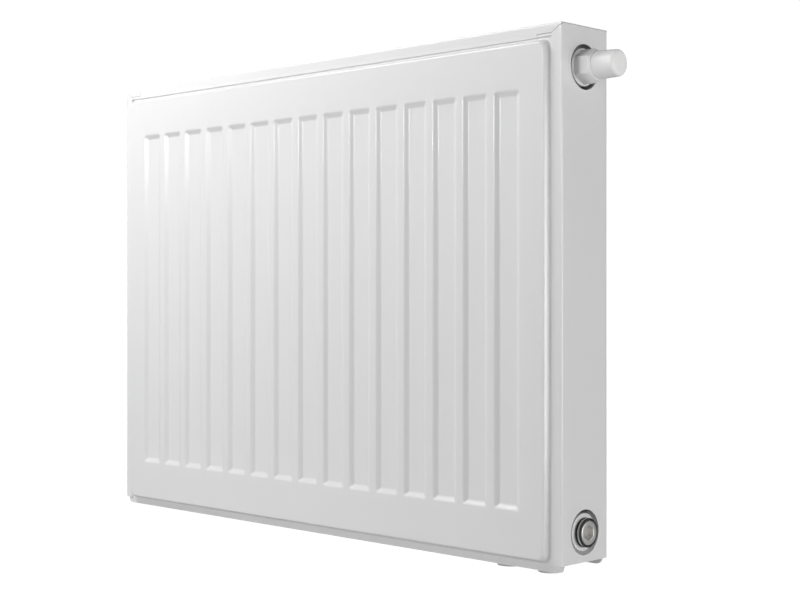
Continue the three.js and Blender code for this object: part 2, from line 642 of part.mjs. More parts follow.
// Steel spindle: a disc carrier inside, a collar for the spring and a pin out to the cap.
function spindle() {
  const pin = SPINDLE_DIAMETER / 2;
  const collar = COLLAR_DIAMETER / 2;
  const nose = VALVE_SEAT + DISC_SHEET / 2;
  const carrier = DISC[1] + GAP;
  const profile = [
    [nose, 0], [nose, pin], [carrier, pin], [carrier, collar], [carrier + CARRIER_SHEET, collar],
    [carrier + CARRIER_SHEET, pin], [SPINDLE_COLLAR[0], pin], [SPINDLE_COLLAR[0], collar],
    [SPINDLE_COLLAR[1], collar], [SPINDLE_COLLAR[1], pin], [SPINDLE_END, pin], [SPINDLE_END, 0],
  ];
  return turned(profile, 1, HUB_HIGH, COARSE);
}

// Coil spring between the insert's ledge and the spindle's collar.
function returnSpring() {
  const from = END + LEDGE[1] + GAP + SPRING_WIRE / 2;
  const to = END + SPINDLE_COLLAR[0] - GAP - SPRING_WIRE / 2;
  class Helix extends THREE.Curve {
    getPoint(t, target = new THREE.Vector3()) {
      const angle = t * SPRING_TURNS * 2 * Math.PI;
      const radius = SPRING_DIAMETER / 2;
      return target.set(
        from + t * (to - from),
        MIDDLE + radius * Math.cos(angle),
        HUB_HIGH + radius * Math.sin(angle),
      );
    }
  }
  const wire = new THREE.Shape();
  wire.absarc(0, 0, SPRING_WIRE / 2, 0, 2 * Math.PI);
  const steps = SPRING_TURNS * 10;
  return solid(new THREE.ExtrudeGeometry(wire, { steps, curveSegments: 3, extrudePath: new Helix() }));
}

// White plastic cap: hexagonal collar over the neck, chamfered into a slim tapering knob.
function protectiveCap() {
  const collarEnd = CAP_START + CAP_COLLAR_LENGTH;
  const knobStart = collarEnd + CAP_CHAMFER;
  const knob = KNOB_DIAMETER / 2;
  const tip = KNOB_TIP_DIAMETER / 2;
  const corner = CAP_ACROSS_CORNERS / 2;
  const round = [];
  for (let i = 1; i <= ROUND_STEPS; i++) {
    const angle = (i / ROUND_STEPS) * (Math.PI / 2);
    round.push([CAP_END - KNOB_ROUND * (1 - Math.sin(angle)), tip - KNOB_ROUND * (1 - Math.cos(angle))]);
  }
  const outside = [
    [CAP_START, 0], [CAP_START, corner], [collarEnd, corner], [knobStart, knob],
    [CAP_END - KNOB_ROUND, tip], ...round, [CAP_END, 0],
  ];
  const flats = (CAP_ACROSS_CORNERS * Math.sqrt(3)) / 2;
  const collar = hexagon([CAP_START - 1, CAP_END + 1], flats, 1, HUB_HIGH);
  const boss = SPINDLE_END + GAP;
  const floor = boss + BOSS_HEIGHT;
  const [socket, hollow] = [NECK_DIAMETER / 2 + GAP, CAP_HOLLOW_DIAMETER / 2];
  const inside = [
    [CAP_START - 1, 0], [CAP_START - 1, socket], [NECK_END + GAP, socket],
    [NECK_END + GAP + 1, hollow], [floor, hollow], [floor, BOSS_DIAMETER / 2],
    [boss, BOSS_DIAMETER / 2], [boss, 0],
  ];
  return turned(outside, 1, HUB_HIGH).intersect(collar).subtract(turned(inside, 1, HUB_HIGH));
}

// Plastic ring round the gland's sleeve that sets the flow, with a notch for its key.
function presettingRing() {
  const span = [NECK_END + GAP, PRESETTING_END];
  const body = valveRing(span, PRESETTING_DIAMETER, GLAND_SLEEVE_DIAMETER + 2 * GAP, FINE);
  const rim = HUB_HIGH + PRESETTING_DIAMETER / 2;
  const notch = block(
    [END + PRESETTING_END - 1, END + PRESETTING_END + 1],
    grow([MIDDLE, MIDDLE], PRESETTING_NOTCH / 2),
    [rim - PRESETTING_NOTCH, rim + 1],
  );
  return body.subtract(notch);
}

function addValve() {
  const onSpindle = SPINDLE_DIAMETER + 2 * GAP;
  const inGroove = [INSERT_GROOVE[0] + GAP, INSERT_GROOVE[1] - GAP];
  const inGland = [GLAND_GROOVE[0] + GAP, GLAND_GROOVE[1] - GAP];
  const groovePlace = [THREAD_DIAMETER - GAP, INSERT_NOSE_DIAMETER + 2 * GAP];
  add("valve_insert", valveInsert(), brass());
  add("insert_o_ring", valveRing(inGroove, ...groovePlace, FINE), rubber());
  add("gland_nut", glandNut(), brass());
  add("gland_o_ring", valveRing(inGland, GLAND_GROOVE_DIAMETER - 2 * GAP, onSpindle, COARSE), rubber());
  add("spindle", spindle(), steel());
  add("valve_disc", valveRing(DISC, DISC_DIAMETER, onSpindle, COARSE), rubber());
  add("return_spring", returnSpring(), steel());
  add("presetting_ring", presettingRing(), plastic());
  add("protective_cap", protectiveCap(), plastic());
}

// ---------------------------------------------------------------- plugs
// Nickel-plated blind plug: thread, head ring, raised face with a hexagon socket.
function blindPlug(end) {
  const [headIn, headOut] = PLUG_HEAD;
  const profile = [
    [-HUB_MOUTH - PLUG_THREAD_LENGTH, 0], [-HUB_MOUTH - PLUG_THREAD_LENGTH, THREAD_DIAMETER / 2],
    [headIn, THREAD_DIAMETER / 2], [headIn, PLUG_HEAD_DIAMETER / 2], [headOut, PLUG_HEAD_DIAMETER / 2],
    [headOut, PLUG_FACE_DIAMETER / 2], [PLUG_FACE, PLUG_FACE_DIAMETER / 2], [PLUG_FACE, 0],
  ];
  const socket = hexagon([PLUG_FACE - PLUG_SOCKET_DEPTH, PLUG_FACE + 1], PLUG_SOCKET, end, HUB_LOW);
  return turned(profile, end, HUB_LOW).subtract(socket);
}

// Seal between a hub's mouth and the head screwed into it.
function mouthSeal(end, height) {
  const span = [-HUB_MOUTH + GAP, PLUG_HEAD[0] - GAP];
  return ring(span, SEAL_DIAMETER, THREAD_DIAMETER + 2 * GAP, end, height);
}

// Soft ring round the plug's raised face.
function guardRing(end) {
  const span = [PLUG_HEAD[1] + GAP, PLUG_FACE - GAP];
  return ring(span, SEAL_DIAMETER, PLUG_FACE_DIAMETER + 2 * GAP, end, HUB_LOW);
}

function addPlugs() {
  for (const [side, end] of [["right", 1], ["left", -1]]) {
    add(`blind_plug_${side}`, blindPlug(end), nickel());
    add(`plug_seal_${side}`, mouthSeal(end, HUB_LOW), rubber());
    add(`plug_guard_ring_${side}`, guardRing(end), rubber());
  }
}

// ---------------------------------------------------------------- air vent
// Nickel-plated vent plug with a bore for the bleed screw and a neck for the nozzle ring.
function airVentPlug() {
  const [headIn, headOut] = PLUG_HEAD;
  const inner = -HUB_MOUTH - PLUG_THREAD_LENGTH;
  const [neck, screw, bore] = [VENT_NECK_DIAMETER / 2, VENT_SCREW_BORE / 2, VENT_BORE / 2];
  const profile = [
    [inner, bore], [inner, THREAD_DIAMETER / 2], [headIn, THREAD_DIAMETER / 2],
    [headIn, PLUG_HEAD_DIAMETER / 2], [headOut, PLUG_HEAD_DIAMETER / 2], [headOut, neck],
    [VENT_NECK_END, neck], [VENT_NECK_END, screw], [VENT_SCREW_SEAT, screw], [VENT_SCREW_SEAT, bore],
  ];
  return turned(profile, -1, HUB_HIGH);
}

// Bleed screw with a square end and a driver slot.
function bleedScrew() {
  const [inner, outer] = BLEED_SCREW;
  const radius = BLEED_SCREW_DIAMETER / 2;
  const shank = turned([[inner, 0], [inner, radius], [outer, radius], [outer, 0]], -1, HUB_HIGH, COARSE);
  const tip = -END - BLEED_SQUARE_END;
  const across = (half) => [grow([MIDDLE, MIDDLE], half), grow([HUB_HIGH, HUB_HIGH], half)];
  const head = block([tip, -END - outer + 1], ...across(BLEED_SQUARE / 2));
  const [narrow] = across(BLEED_SLOT / 2);
  const [, tall] = across(BLEED_SQUARE);
  return shank.add(head).subtract(block([tip - 1, tip + BLEED_SLOT], narrow, tall));
}

// Plastic ring that turns on the vent plug and points the air's way out.
function ventNozzle() {
  const bore = VENT_NECK_DIAMETER + 2 * GAP;
  const body = ring([PLUG_HEAD[1] + GAP, NOZZLE_END], NOZZLE_DIAMETER, bore, -1, HUB_HIGH);
  const [from, to] = SPOUT_DROP;
  const [root, tip] = SPOUT_WIDTH;
  const outline = [
    [MIDDLE - root / 2, HUB_HIGH - from], [MIDDLE + root / 2, HUB_HIGH - from],
    [MIDDLE + tip / 2, HUB_HIGH - to], [MIDDLE - tip / 2, HUB_HIGH - to],
  ];
  return body.add(prism(outline, "x", -END - SPOUT[1], -END - SPOUT[0]));
}

function addAirVent() {
  add("air_vent_plug", airVentPlug(), nickel());
  add("air_vent_seal", mouthSeal(-1, HUB_HIGH), rubber());
  add("bleed_screw", bleedScrew(), steel());
  add("vent_nozzle", ventNozzle(), plastic());
}

// ---------------------------------------------------------------- hanging lugs
// A folded strap welded to the rear panel; its tongue drops over the wall bracket's hook.
function hangingLug(x, top) {
  const foot = REAR_FACE + GAP;
  const t = LUG_SHEET;
  const outline = [
    [foot, top - LUG_FOOT], [foot + t, top - LUG_FOOT], [foot + t, top - t], [-t, top - t],
    [-t, top - LUG_TONGUE], [0, top - LUG_TONGUE], [0, top], [foot, top],
  ];
  return prism(outline, "x", x - LUG_WIDTH / 2, x + LUG_WIDTH / 2);
}

function addFittings() {
  for (const [side, end] of [["left", -1], ["right", 1]]) {
    add(`lug_upper_${side}`, hangingLug(end * (END - LUG_INSET), HEIGHT - LUG_HIGH_DROP), paint());
    add(`lug_lower_${side}`, hangingLug(end * (END - LUG_INSET), LUG_LOW), paint());
    add(`grille_clip_${side}`, grilleClip(end * (END - CLIP_INSET)), steel());
  }
}

addPanels();
add("convector", convector(), paint());
add("side_cover_right", sideCover(1), paint());
add("side_cover_left", sideCover(-1), paint());
add("top_grille", topGrille(), paint());
addHubs();
addConnections();
addValve();
addPlugs();
addAirVent();
addFittings();

export default root;
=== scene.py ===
import math

import bpy
import numpy as np
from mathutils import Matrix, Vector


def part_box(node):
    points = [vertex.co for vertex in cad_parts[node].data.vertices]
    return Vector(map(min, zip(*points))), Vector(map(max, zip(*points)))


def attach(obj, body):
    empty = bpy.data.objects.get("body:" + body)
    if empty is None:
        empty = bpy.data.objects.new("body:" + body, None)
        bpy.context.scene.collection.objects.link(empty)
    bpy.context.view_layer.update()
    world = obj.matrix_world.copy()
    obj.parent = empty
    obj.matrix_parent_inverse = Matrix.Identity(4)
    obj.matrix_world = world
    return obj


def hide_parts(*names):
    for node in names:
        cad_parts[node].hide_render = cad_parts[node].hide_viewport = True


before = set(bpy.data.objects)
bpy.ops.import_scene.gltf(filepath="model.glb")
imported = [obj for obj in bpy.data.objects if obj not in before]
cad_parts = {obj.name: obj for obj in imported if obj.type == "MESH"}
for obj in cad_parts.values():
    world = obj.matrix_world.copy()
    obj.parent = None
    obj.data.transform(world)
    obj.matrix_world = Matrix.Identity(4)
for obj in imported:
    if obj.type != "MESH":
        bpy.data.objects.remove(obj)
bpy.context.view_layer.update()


# ------------------------------------------------------------------ studio
# A white studio sweep: the radiator hangs a hand's width above a pale floor, as it would on its wall
# brackets, seen from its right front. Two soft lights hang close to its upper left, one stands to the
# right, a weaker one in front fills the shadows, and a small one picks out the folded edges.
camera_data = bpy.data.cameras.new("camera")
camera_data.sensor_width = 36.0
camera_data.lens = 66.86
camera_data.shift_y = -0.00775
camera = bpy.data.objects.new("camera", camera_data)
camera.location = (1.1688, -1.1457, 0.2548)
camera.rotation_euler = (math.pi / 2, 0.0, math.atan2(0.699, 0.715))
bpy.context.collection.objects.link(camera)
bpy.context.scene.camera = camera
bpy.context.scene.view_settings.view_transform = "Standard"

ROOM_LIGHT = 0.12
world = bpy.data.worlds.new("white_room")
bpy.context.scene.world = world
world.use_nodes = True
room = world.node_tree
height = room.nodes.new("ShaderNodeSeparateXYZ")
ray = room.nodes.new("ShaderNodeTexCoord")
fade = room.nodes.new("ShaderNodeMapRange")
fade.inputs["From Min"].default_value = -1.0
fade.inputs["To Min"].default_value = 0.82
tint = room.nodes.new("ShaderNodeCombineColor")
room.links.new(ray.outputs["Generated"], height.inputs["Vector"])
room.links.new(height.outputs["Z"], fade.inputs["Value"])
for channel in ("Red", "Green", "Blue"):
    room.links.new(fade.outputs["Result"], tint.inputs[channel])
room.links.new(tint.outputs["Color"], room.nodes["Background"].inputs["Color"])
seen = room.nodes.new("ShaderNodeLightPath")
strength = room.nodes.new("ShaderNodeMapRange")
strength.inputs["To Min"].default_value = ROOM_LIGHT
strength.inputs["To Max"].default_value = 1.0
room.links.new(seen.outputs["Is Camera Ray"], strength.inputs["Value"])
room.links.new(strength.outputs["Result"], room.nodes["Background"].inputs["Strength"])


def soft_light(name, place, towards, size, power):
    """A square area light of the given size, turned from its place towards a point."""
    light = bpy.data.lights.new(name, "AREA")
    light.size = size
    light.energy = power
    lamp = bpy.data.objects.new(name, light)
    lamp.location = place
    aim = np.array(towards) - np.array(place)
    flat = math.hypot(aim[0], aim[1])
    lamp.rotation_euler = (math.pi / 2 + math.atan2(aim[2], flat), 0.0, math.atan2(-aim[0], aim[1]))
    lamp.visible_camera = False
    bpy.context.collection.objects.link(lamp)


soft_light("key_light", (-0.62, -0.66, 1.05), (-0.40, -0.09, 0.35), 0.5, 6.2)
soft_light("top_light", (-0.40, -0.75, 1.30), (-0.20, -0.09, 0.50), 0.5, 5.2)
soft_light("side_light", (2.4, 0.3, 0.1), (0.3, -0.05, 0.15), 1.2, 33.0)
soft_light("fill_light", (-0.25, -2.3, 0.9), (0.1, -0.05, 0.35), 0.6, 17.0)
soft_light("edge_light", (1.9, -2.1, 0.6), (0.2, -0.05, 0.35), 0.45, 7.0)

FLOOR_LEVEL = -0.16
sweep_path = np.array([(-6.0, FLOOR_LEVEL), (1.6, FLOOR_LEVEL), (2.1, FLOOR_LEVEL + 0.14),
                       (2.3, FLOOR_LEVEL + 0.5), (2.3, 4.0)])
sweep_points = np.array([(x, y, z) for y, z in sweep_path for x in (-6.0, 6.0)])
sweep_mesh = bpy.data.meshes.new("sweep")
rows = np.arange(len(sweep_path) - 1) * 2
sweep_mesh.from_pydata(sweep_points.tolist(), [], np.stack([rows, rows + 1, rows + 3, rows + 2], 1).tolist())
sweep_mesh.shade_smooth()
sweep = bpy.data.objects.new("studio_sweep", sweep_mesh)
sweep.rotation_euler = (0.0, 0.0, math.radians(44.3))
bpy.context.collection.objects.link(sweep)
paper = bpy.data.materials.new("studio_paper")
paper.use_nodes = True
paper_shader = paper.node_tree.nodes["Principled BSDF"]
paper_shader.inputs["Base Color"].default_value = (0.55, 0.55, 0.55, 1.0)
paper_shader.inputs["Roughness"].default_value = 0.9
paper_shader.inputs["Specular IOR Level"].default_value = 0.1
paper_shader.inputs["Emission Color"].default_value = (1.0, 1.0, 1.0, 1.0)
seen_directly = paper.node_tree.nodes.new("ShaderNodeLightPath")
glow = paper.node_tree.nodes.new("ShaderNodeMath")
glow.operation = "MULTIPLY"
glow.inputs[1].default_value = 0.85
paper.node_tree.links.new(seen_directly.outputs["Is Camera Ray"], glow.inputs[0])
paper.node_tree.links.new(glow.outputs["Value"], paper_shader.inputs["Emission Strength"])
sweep_mesh.materials.append(paper)


# ------------------------------------------------------------------ water panels
# Each panel is two pressed steel sheets welded along a flat seam: the sheet that shows has a shallow
# tray with fifteen upright grooves, the sheet inside has grooves deep enough to meet them. Powder
# coated white after welding. Sizes in metres.
MM = 0.001
LENGTH, HEIGHT = 0.670, 0.500
END = LENGTH / 2
COVER_SHEET, PANEL_SHEET, GAP = 0.9 * MM, 1.2 * MM, 0.3 * MM
REAR_FACE, REAR_LIP, FRONT_LIP, FRONT_FACE = -0.009, -0.015, -0.084, -0.090
FRONT_SEAM, REAR_SEAM = FRONT_LIP + 2.55 * MM, REAR_LIP - 2.55 * MM
MIDDLE = (FRONT_LIP + REAR_LIP) / 2
GROOVES, GROOVE_WIDTH, GROOVE_DEPTH, GROOVE_WALL = 15, 0.031, 2.9 * MM, 5.2 * MM
GROOVE_CORNER, GROOVE_MARGIN = 3.5 * MM, 0.0445
GROOVE_FIRST = -END + GROOVE_MARGIN
GROOVE_PITCH = (LENGTH - 2 * GROOVE_MARGIN - GROOVE_WIDTH) / (GROOVES - 1)
GROOVE_LOW, GROOVE_HIGH = 0.0525, 0.4420
TRAY_LOW, TRAY_HIGH, TRAY_SIDE = 0.0075, HEIGHT - 0.014, END - 0.0135
SEAM_SIDE, SEAM_HIGH = END - 0.0045, HEIGHT - 0.0035
TRAY_WALL, TRAY_CORNER = 2.8 * MM, 9 * MM
INNER_DEPTH, INNER_SHRINK = 5.5 * MM, 1.2 * MM


def smooth(t):
    """An S-curve from 0 to 1: 3t squared minus 2t cubed, flat before 0 and after 1."""
    t = np.clip(t, 0.0, 1.0)
    return t * t * (3.0 - 2.0 * t)


def rounded(t, softness=0.22):
    """A straight ramp from 0 to 1 whose two ends are rounded over the given share of it: the ramp
    averaged over a short window, so its slope rises and falls evenly."""
    t = np.clip(t, -softness, 1.0 + softness)
    window = np.linspace(-softness, softness, 9)
    return np.clip(t[..., None] + window, 0.0, 1.0).mean(-1)


def inside(x, z, low_x, high_x, low_z, high_z, corner):
    """How far a point is inside a rectangle with rounded corners: the rectangle shrunk by the corner
    radius has a distance to it, and that distance is taken from the radius."""
    dx = np.maximum(low_x + corner - x, x - high_x + corner)
    dz = np.maximum(low_z + corner - z, z - high_z + corner)
    outside = np.hypot(np.maximum(dx, 0.0), np.maximum(dz, 0.0)) + np.minimum(np.maximum(dx, dz), 0.0)
    return corner - outside


def stops(*pieces):
    """Places along an axis: each piece is (from, to, count), its ends included, all sorted once."""
    runs = [np.linspace(a, b, n) for a, b, n in pieces]
    return np.unique(np.round(np.concatenate(runs), 7))


def quads(rows, columns, loop_rows=False, loop_columns=False):
    """Faces of a grid of points numbered row by row: each joins a point, the next one along its row,
    and the two above them. A loop joins the last row or column to the first."""
    r = np.arange(rows if loop_rows else rows - 1)[:, None]
    c = np.arange(columns if loop_columns else columns - 1)[None, :]
    up, along = (r + 1) % rows, (c + 1) % columns
    corners = [r * columns + c, r * columns + along, up * columns + along, up * columns + c]
    return np.stack(np.broadcast_arrays(*corners), -1).reshape(-1, 4)


def welded(points, faces, near=2e-6):
    """Points closer than near become one, and a quad with two equal corners becomes a triangle."""
    keys = np.round(points / near).astype(np.int64)
    _, first, back = np.unique(keys, axis=0, return_index=True, return_inverse=True)
    points, faces = points[first], back.reshape(-1)[faces]
    same = faces == np.roll(faces, -1, axis=1)
    whole = faces[~same.any(1)]
    folded = faces[same.sum(1) == 1]
    gone = same[same.sum(1) == 1]
    triangles = folded[~gone].reshape(-1, 3)
    return points, whole, triangles


def thickened(points, faces, thickness):
    """A sheet of quads made a closed plate: a second layer lies the given thickness behind it, along
    each point's normal, the mean of its faces' cross products, and strips join the two edges."""
    points, whole, triangles = welded(points, faces)
    assert len(triangles) == 0
    faces = whole
    p = points[faces]
    face_normals = np.cross(p[:, 2] - p[:, 0], p[:, 3] - p[:, 1])
    normals = np.zeros_like(points)
    for corner in range(4):
        np.add.at(normals, faces[:, corner], face_normals)
    normals /= np.linalg.norm(normals, axis=1, keepdims=True)
    count = len(points)
    sides = np.stack([faces, np.roll(faces, -1, axis=1)], -1).reshape(-1, 2)
    names = sides[:, 0] * count + sides[:, 1]
    free = sides[~np.isin(names, sides[:, 1] * count + sides[:, 0])]
    rim = np.stack([free[:, 1], free[:, 0], free[:, 0] + count, free[:, 1] + count], 1)
    both = np.concatenate([points, points - normals * thickness])
    return both, np.concatenate([faces, faces[:, ::-1] + count, rim])


def joined(*shells):
    """Several (points, faces) shells as one."""
    starts = np.cumsum([0] + [len(points) for points, _ in shells[:-1]])
    return (np.concatenate([points for points, _ in shells]),
            np.concatenate([faces + start for (_, faces), start in zip(shells, starts)]))


def outwards(shell):
    """The shell with its faces turned outwards: its signed volume is made positive."""
    points, faces = shell
    p = points[faces] - points.mean(0)
    volume = (np.einsum("ij,ij->i", p[:, 0], np.cross(p[:, 1], p[:, 2]))
              + np.einsum("ij,ij->i", p[:, 0], np.cross(p[:, 2], p[:, 3]))).sum()
    return (points, faces[:, ::-1]) if volume < 0 else shell


def make(name, shell, material, body, crease=32.0, bevel=0.0):
    """One finished piece from closed shells of quads: welded, smooth except at creases sharper than
    the given angle, with its material, its body, and the CAD node of its name replaced."""
    points, whole, triangles = welded(*shell)
    mesh = bpy.data.meshes.new(name)
    mesh.from_pydata(points.tolist(), [], whole.tolist() + triangles.tolist())
    mesh.shade_smooth()
    mesh.set_sharp_from_angle(angle=math.radians(crease))
    mesh.materials.append(material)
    piece = bpy.data.objects.new(name + "_shape", mesh)
    bpy.context.collection.objects.link(piece)
    if bevel:
        soften = piece.modifiers.new("softened_edges", "BEVEL")
        soften.width = bevel
        soften.segments = 2
        soften.limit_method = "ANGLE"
        soften.angle_limit = math.radians(50.0)
        soften.harden_normals = True
    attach(piece, body)
    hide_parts(name)
    return piece


def group(name, inputs, outputs):
    """A shader node group with named value inputs, given as name: start value, and named outputs."""
    tree = bpy.data.node_groups.new(name, "ShaderNodeTree")
    for label, value in inputs.items():
        socket = tree.interface.new_socket(label, in_out="INPUT", socket_type="NodeSocketFloat")
        socket.default_value = value
    for label, kind in outputs.items():
        tree.interface.new_socket(label, in_out="OUTPUT", socket_type=kind)
    return tree, tree.nodes.new("NodeGroupInput"), tree.nodes.new("NodeGroupOutput")


def mixed(tree, factor, low, high):
    """A node that goes from one value to another by a factor between 0 and 1."""
    node = tree.nodes.new("ShaderNodeMapRange")
    node.inputs["To Min"].default_value = low
    node.inputs["To Max"].default_value = high
    tree.links.new(factor, node.inputs["Value"])
    return node.outputs["Result"]


def noise(tree, scale, detail=2.0, roughness=0.5, stretch=None):
    """Noise on Object coordinates. stretch scales the pattern along X, Y and Z before it is read."""
    texture = tree.nodes.new("ShaderNodeTexNoise")
    texture.inputs["Scale"].default_value = scale
    texture.inputs["Detail"].default_value = detail
    texture.inputs["Roughness"].default_value = roughness
    place = tree.nodes.new("ShaderNodeTexCoord").outputs["Object"]
    if stretch:
        mapping = tree.nodes.new("ShaderNodeMapping")
        mapping.inputs["Scale"].default_value = stretch
        tree.links.new(place, mapping.inputs["Vector"])
        place = mapping.outputs["Vector"]
    tree.links.new(place, texture.inputs["Vector"])
    return texture


# Fine grain: the orange peel of a sprayed or moulded skin, two scales of noise summed as a height.
grain_group, grain_in, grain_out = group("fine_grain", {"Scale": 700.0, "Pitting": 0.35},
                                         {"Height": "NodeSocketFloat", "Patches": "NodeSocketFloat"})
peel = noise(grain_group, 700.0, 2.0)
grain_group.links.new(grain_in.outputs["Scale"], peel.inputs["Scale"])
pits = noise(grain_group, 2600.0, 1.0)
pitted = grain_group.nodes.new("ShaderNodeMath")
pitted.operation = "MULTIPLY_ADD"
grain_group.links.new(pits.outputs["Fac"], pitted.inputs[0])
grain_group.links.new(grain_in.outputs["Pitting"], pitted.inputs[1])
grain_group.links.new(peel.outputs["Fac"], pitted.inputs[2])
grain_group.links.new(pitted.outputs["Value"], grain_out.inputs["Height"])
patches = noise(grain_group, 9.0, 4.0, 0.6)
grain_group.links.new(patches.outputs["Fac"], grain_out.inputs["Patches"])

# Edge wear: how much a spot sticks out, broken up by noise, as a mask between 0 and 1.
wear_group, wear_in, wear_out = group(
    "edge_wear", {"Start": 0.53, "Strength": 1.0}, {"Mask": "NodeSocketFloat"})
sharpness = wear_group.nodes.new("ShaderNodeNewGeometry")
rise = wear_group.nodes.new("ShaderNodeMapRange")
rise.inputs["From Max"].default_value = 0.62
wear_group.links.new(sharpness.outputs["Pointiness"], rise.inputs["Value"])
wear_group.links.new(wear_in.outputs["Start"], rise.inputs["From Min"])
broken = noise(wear_group, 160.0, 4.0, 0.65)
chips = wear_group.nodes.new("ShaderNodeMath")
chips.operation = "MULTIPLY"
wear_group.links.new(rise.outputs["Result"], chips.inputs[0])
wear_group.links.new(broken.outputs["Fac"], chips.inputs[1])
amount = wear_group.nodes.new("ShaderNodeMath")
amount.operation = "MULTIPLY"
amount.use_clamp = True
wear_group.links.new(chips.outputs["Value"], amount.inputs[0])
wear_group.links.new(wear_in.outputs["Strength"], amount.inputs[1])
wear_group.links.new(amount.outputs["Value"], wear_out.inputs["Mask"])

# Settled dust: what faces up, broken up by noise, as a mask between 0 and 1.
dust_group, dust_in, dust_out = group("settled_dust", {"Amount": 0.5}, {"Mask": "NodeSocketFloat"})
facing = dust_group.nodes.new("ShaderNodeNewGeometry")
upright = dust_group.nodes.new("ShaderNodeSeparateXYZ")
dust_group.links.new(facing.outputs["Normal"], upright.inputs["Vector"])
level = dust_group.nodes.new("ShaderNodeMapRange")
level.inputs["From Min"].default_value = 0.6
dust_group.links.new(upright.outputs["Z"], level.inputs["Value"])
lint = noise(dust_group, 320.0, 5.0, 0.7)
settled = dust_group.nodes.new("ShaderNodeMath")
settled.operation = "MULTIPLY"
dust_group.links.new(level.outputs["Result"], settled.inputs[0])
dust_group.links.new(lint.outputs["Fac"], settled.inputs[1])
thin = dust_group.nodes.new("ShaderNodeMath")
thin.operation = "MULTIPLY"
thin.use_clamp = True
dust_group.links.new(settled.outputs["Value"], thin.inputs[0])
dust_group.links.new(dust_in.outputs["Amount"], thin.inputs[1])
dust_group.links.new(thin.outputs["Value"], dust_out.inputs["Mask"])


def placed(tree, source, **values):
    """A node group placed in a material with its own values."""
    node = tree.nodes.new("ShaderNodeGroup")
    node.node_tree = source
    for label, value in values.items():
        node.inputs[label].default_value = value
    return node


def blended(tree, factor, low, high):
    """A colour between two, by a factor. Either may be a fixed colour or another node's output."""
    node = tree.nodes.new("ShaderNodeMix")
    node.data_type = "RGBA"
    for socket, value in ((node.inputs[6], low), (node.inputs[7], high)):
        if isinstance(value, tuple):
            socket.default_value = value
        else:
            tree.links.new(value, socket)
    tree.links.new(factor, node.inputs["Factor"])
    return node.outputs[2]


COAT_ROUGHNESS = 0.14


def finish_of(name, colour, second, roughness, rough_spread, metallic, grain_scale, bump, worn, dusty,
              wear=1.0, coat=0.0):
    """A painted, moulded, plated or rubber skin: two close colours in soft patches, worn edges and
    settled dust over them, roughness that varies with the patches, and the fine grain as a bump.
    coat is the weight of a clear, glossier layer on top."""
    material = bpy.data.materials.new(name)
    material.use_nodes = True
    tree = material.node_tree
    shader = tree.nodes["Principled BSDF"]
    grain = placed(tree, grain_group, Scale=grain_scale)
    edges = placed(tree, wear_group, Strength=wear)
    dust = placed(tree, dust_group, Amount=0.35)
    skin = blended(tree, grain.outputs["Patches"], colour, second)
    skin = blended(tree, edges.outputs["Mask"], skin, worn)
    skin = blended(tree, dust.outputs["Mask"], skin, dusty)
    tree.links.new(skin, shader.inputs["Base Color"])
    tree.links.new(mixed(tree, grain.outputs["Patches"], roughness - rough_spread, roughness + rough_spread),
                   shader.inputs["Roughness"])
    shader.inputs["Metallic"].default_value = metallic
    shader.inputs["Coat Weight"].default_value = coat
    shader.inputs["Coat Roughness"].default_value = COAT_ROUGHNESS
    relief = tree.nodes.new("ShaderNodeBump")
    relief.inputs["Strength"].default_value = 0.25
    relief.inputs["Distance"].default_value = bump
    tree.links.new(grain.outputs["Height"], relief.inputs["Height"])
    tree.links.new(relief.outputs["Normal"], shader.inputs["Normal"])
    return material


powder_coat = finish_of(
    "white_powder_coat", (0.80, 0.80, 0.80, 1.0), (0.775, 0.776, 0.78, 1.0), 0.30, 0.05, 0.0, 520.0, 0.00007,
    (0.86, 0.86, 0.85, 1.0), (0.70, 0.70, 0.68, 1.0), wear=0.8, coat=0.5)


def tray_height(x, z, panel_depth):
    """How far a tray stands out of its seam: the ramp of its rolled wall, two steps of the distance
    inside its rounded outline."""
    within = inside(x, z, -TRAY_SIDE, TRAY_SIDE, TRAY_LOW, TRAY_HIGH, TRAY_CORNER)
    return panel_depth * rounded(within / TRAY_WALL, 0.26)


def groove_depth(x, z, depth, shrink=0.0):
    """How deep the grooves cut: for the nearest groove, a ramp with rounded ends of the distance
    inside its rounded outline, over the run of its wall."""
    number = np.clip(np.round((x - GROOVE_FIRST - GROOVE_WIDTH / 2) / GROOVE_PITCH), 0, GROOVES - 1)
    left = GROOVE_FIRST + number * GROOVE_PITCH
    within = inside(x, z, left + shrink, left + GROOVE_WIDTH - shrink, GROOVE_LOW + shrink,
                    GROOVE_HIGH - shrink, GROOVE_CORNER)
    return depth * rounded(within / GROOVE_WALL, 0.15)


def seam_outline(x, z, corner):
    """Points beyond a rounded corner of the seam are drawn in to its arc, along a line to its centre."""
    middle_z = SEAM_HIGH / 2
    dx, dz = np.abs(x) - (SEAM_SIDE - corner), np.abs(z - middle_z) - (middle_z - corner)
    reach = np.hypot(np.maximum(dx, 0.0), np.maximum(dz, 0.0))
    beyond = (dx > 0) & (dz > 0) & (reach > corner)
    share = np.where(beyond, corner / np.maximum(reach, 1e-9), 1.0)
    new_x = np.where(beyond, np.sign(x) * (SEAM_SIDE - corner + dx * share), x)
    new_z = np.where(beyond, middle_z + np.sign(z - middle_z) * (middle_z - corner + dz * share), z)
    return new_x, new_z


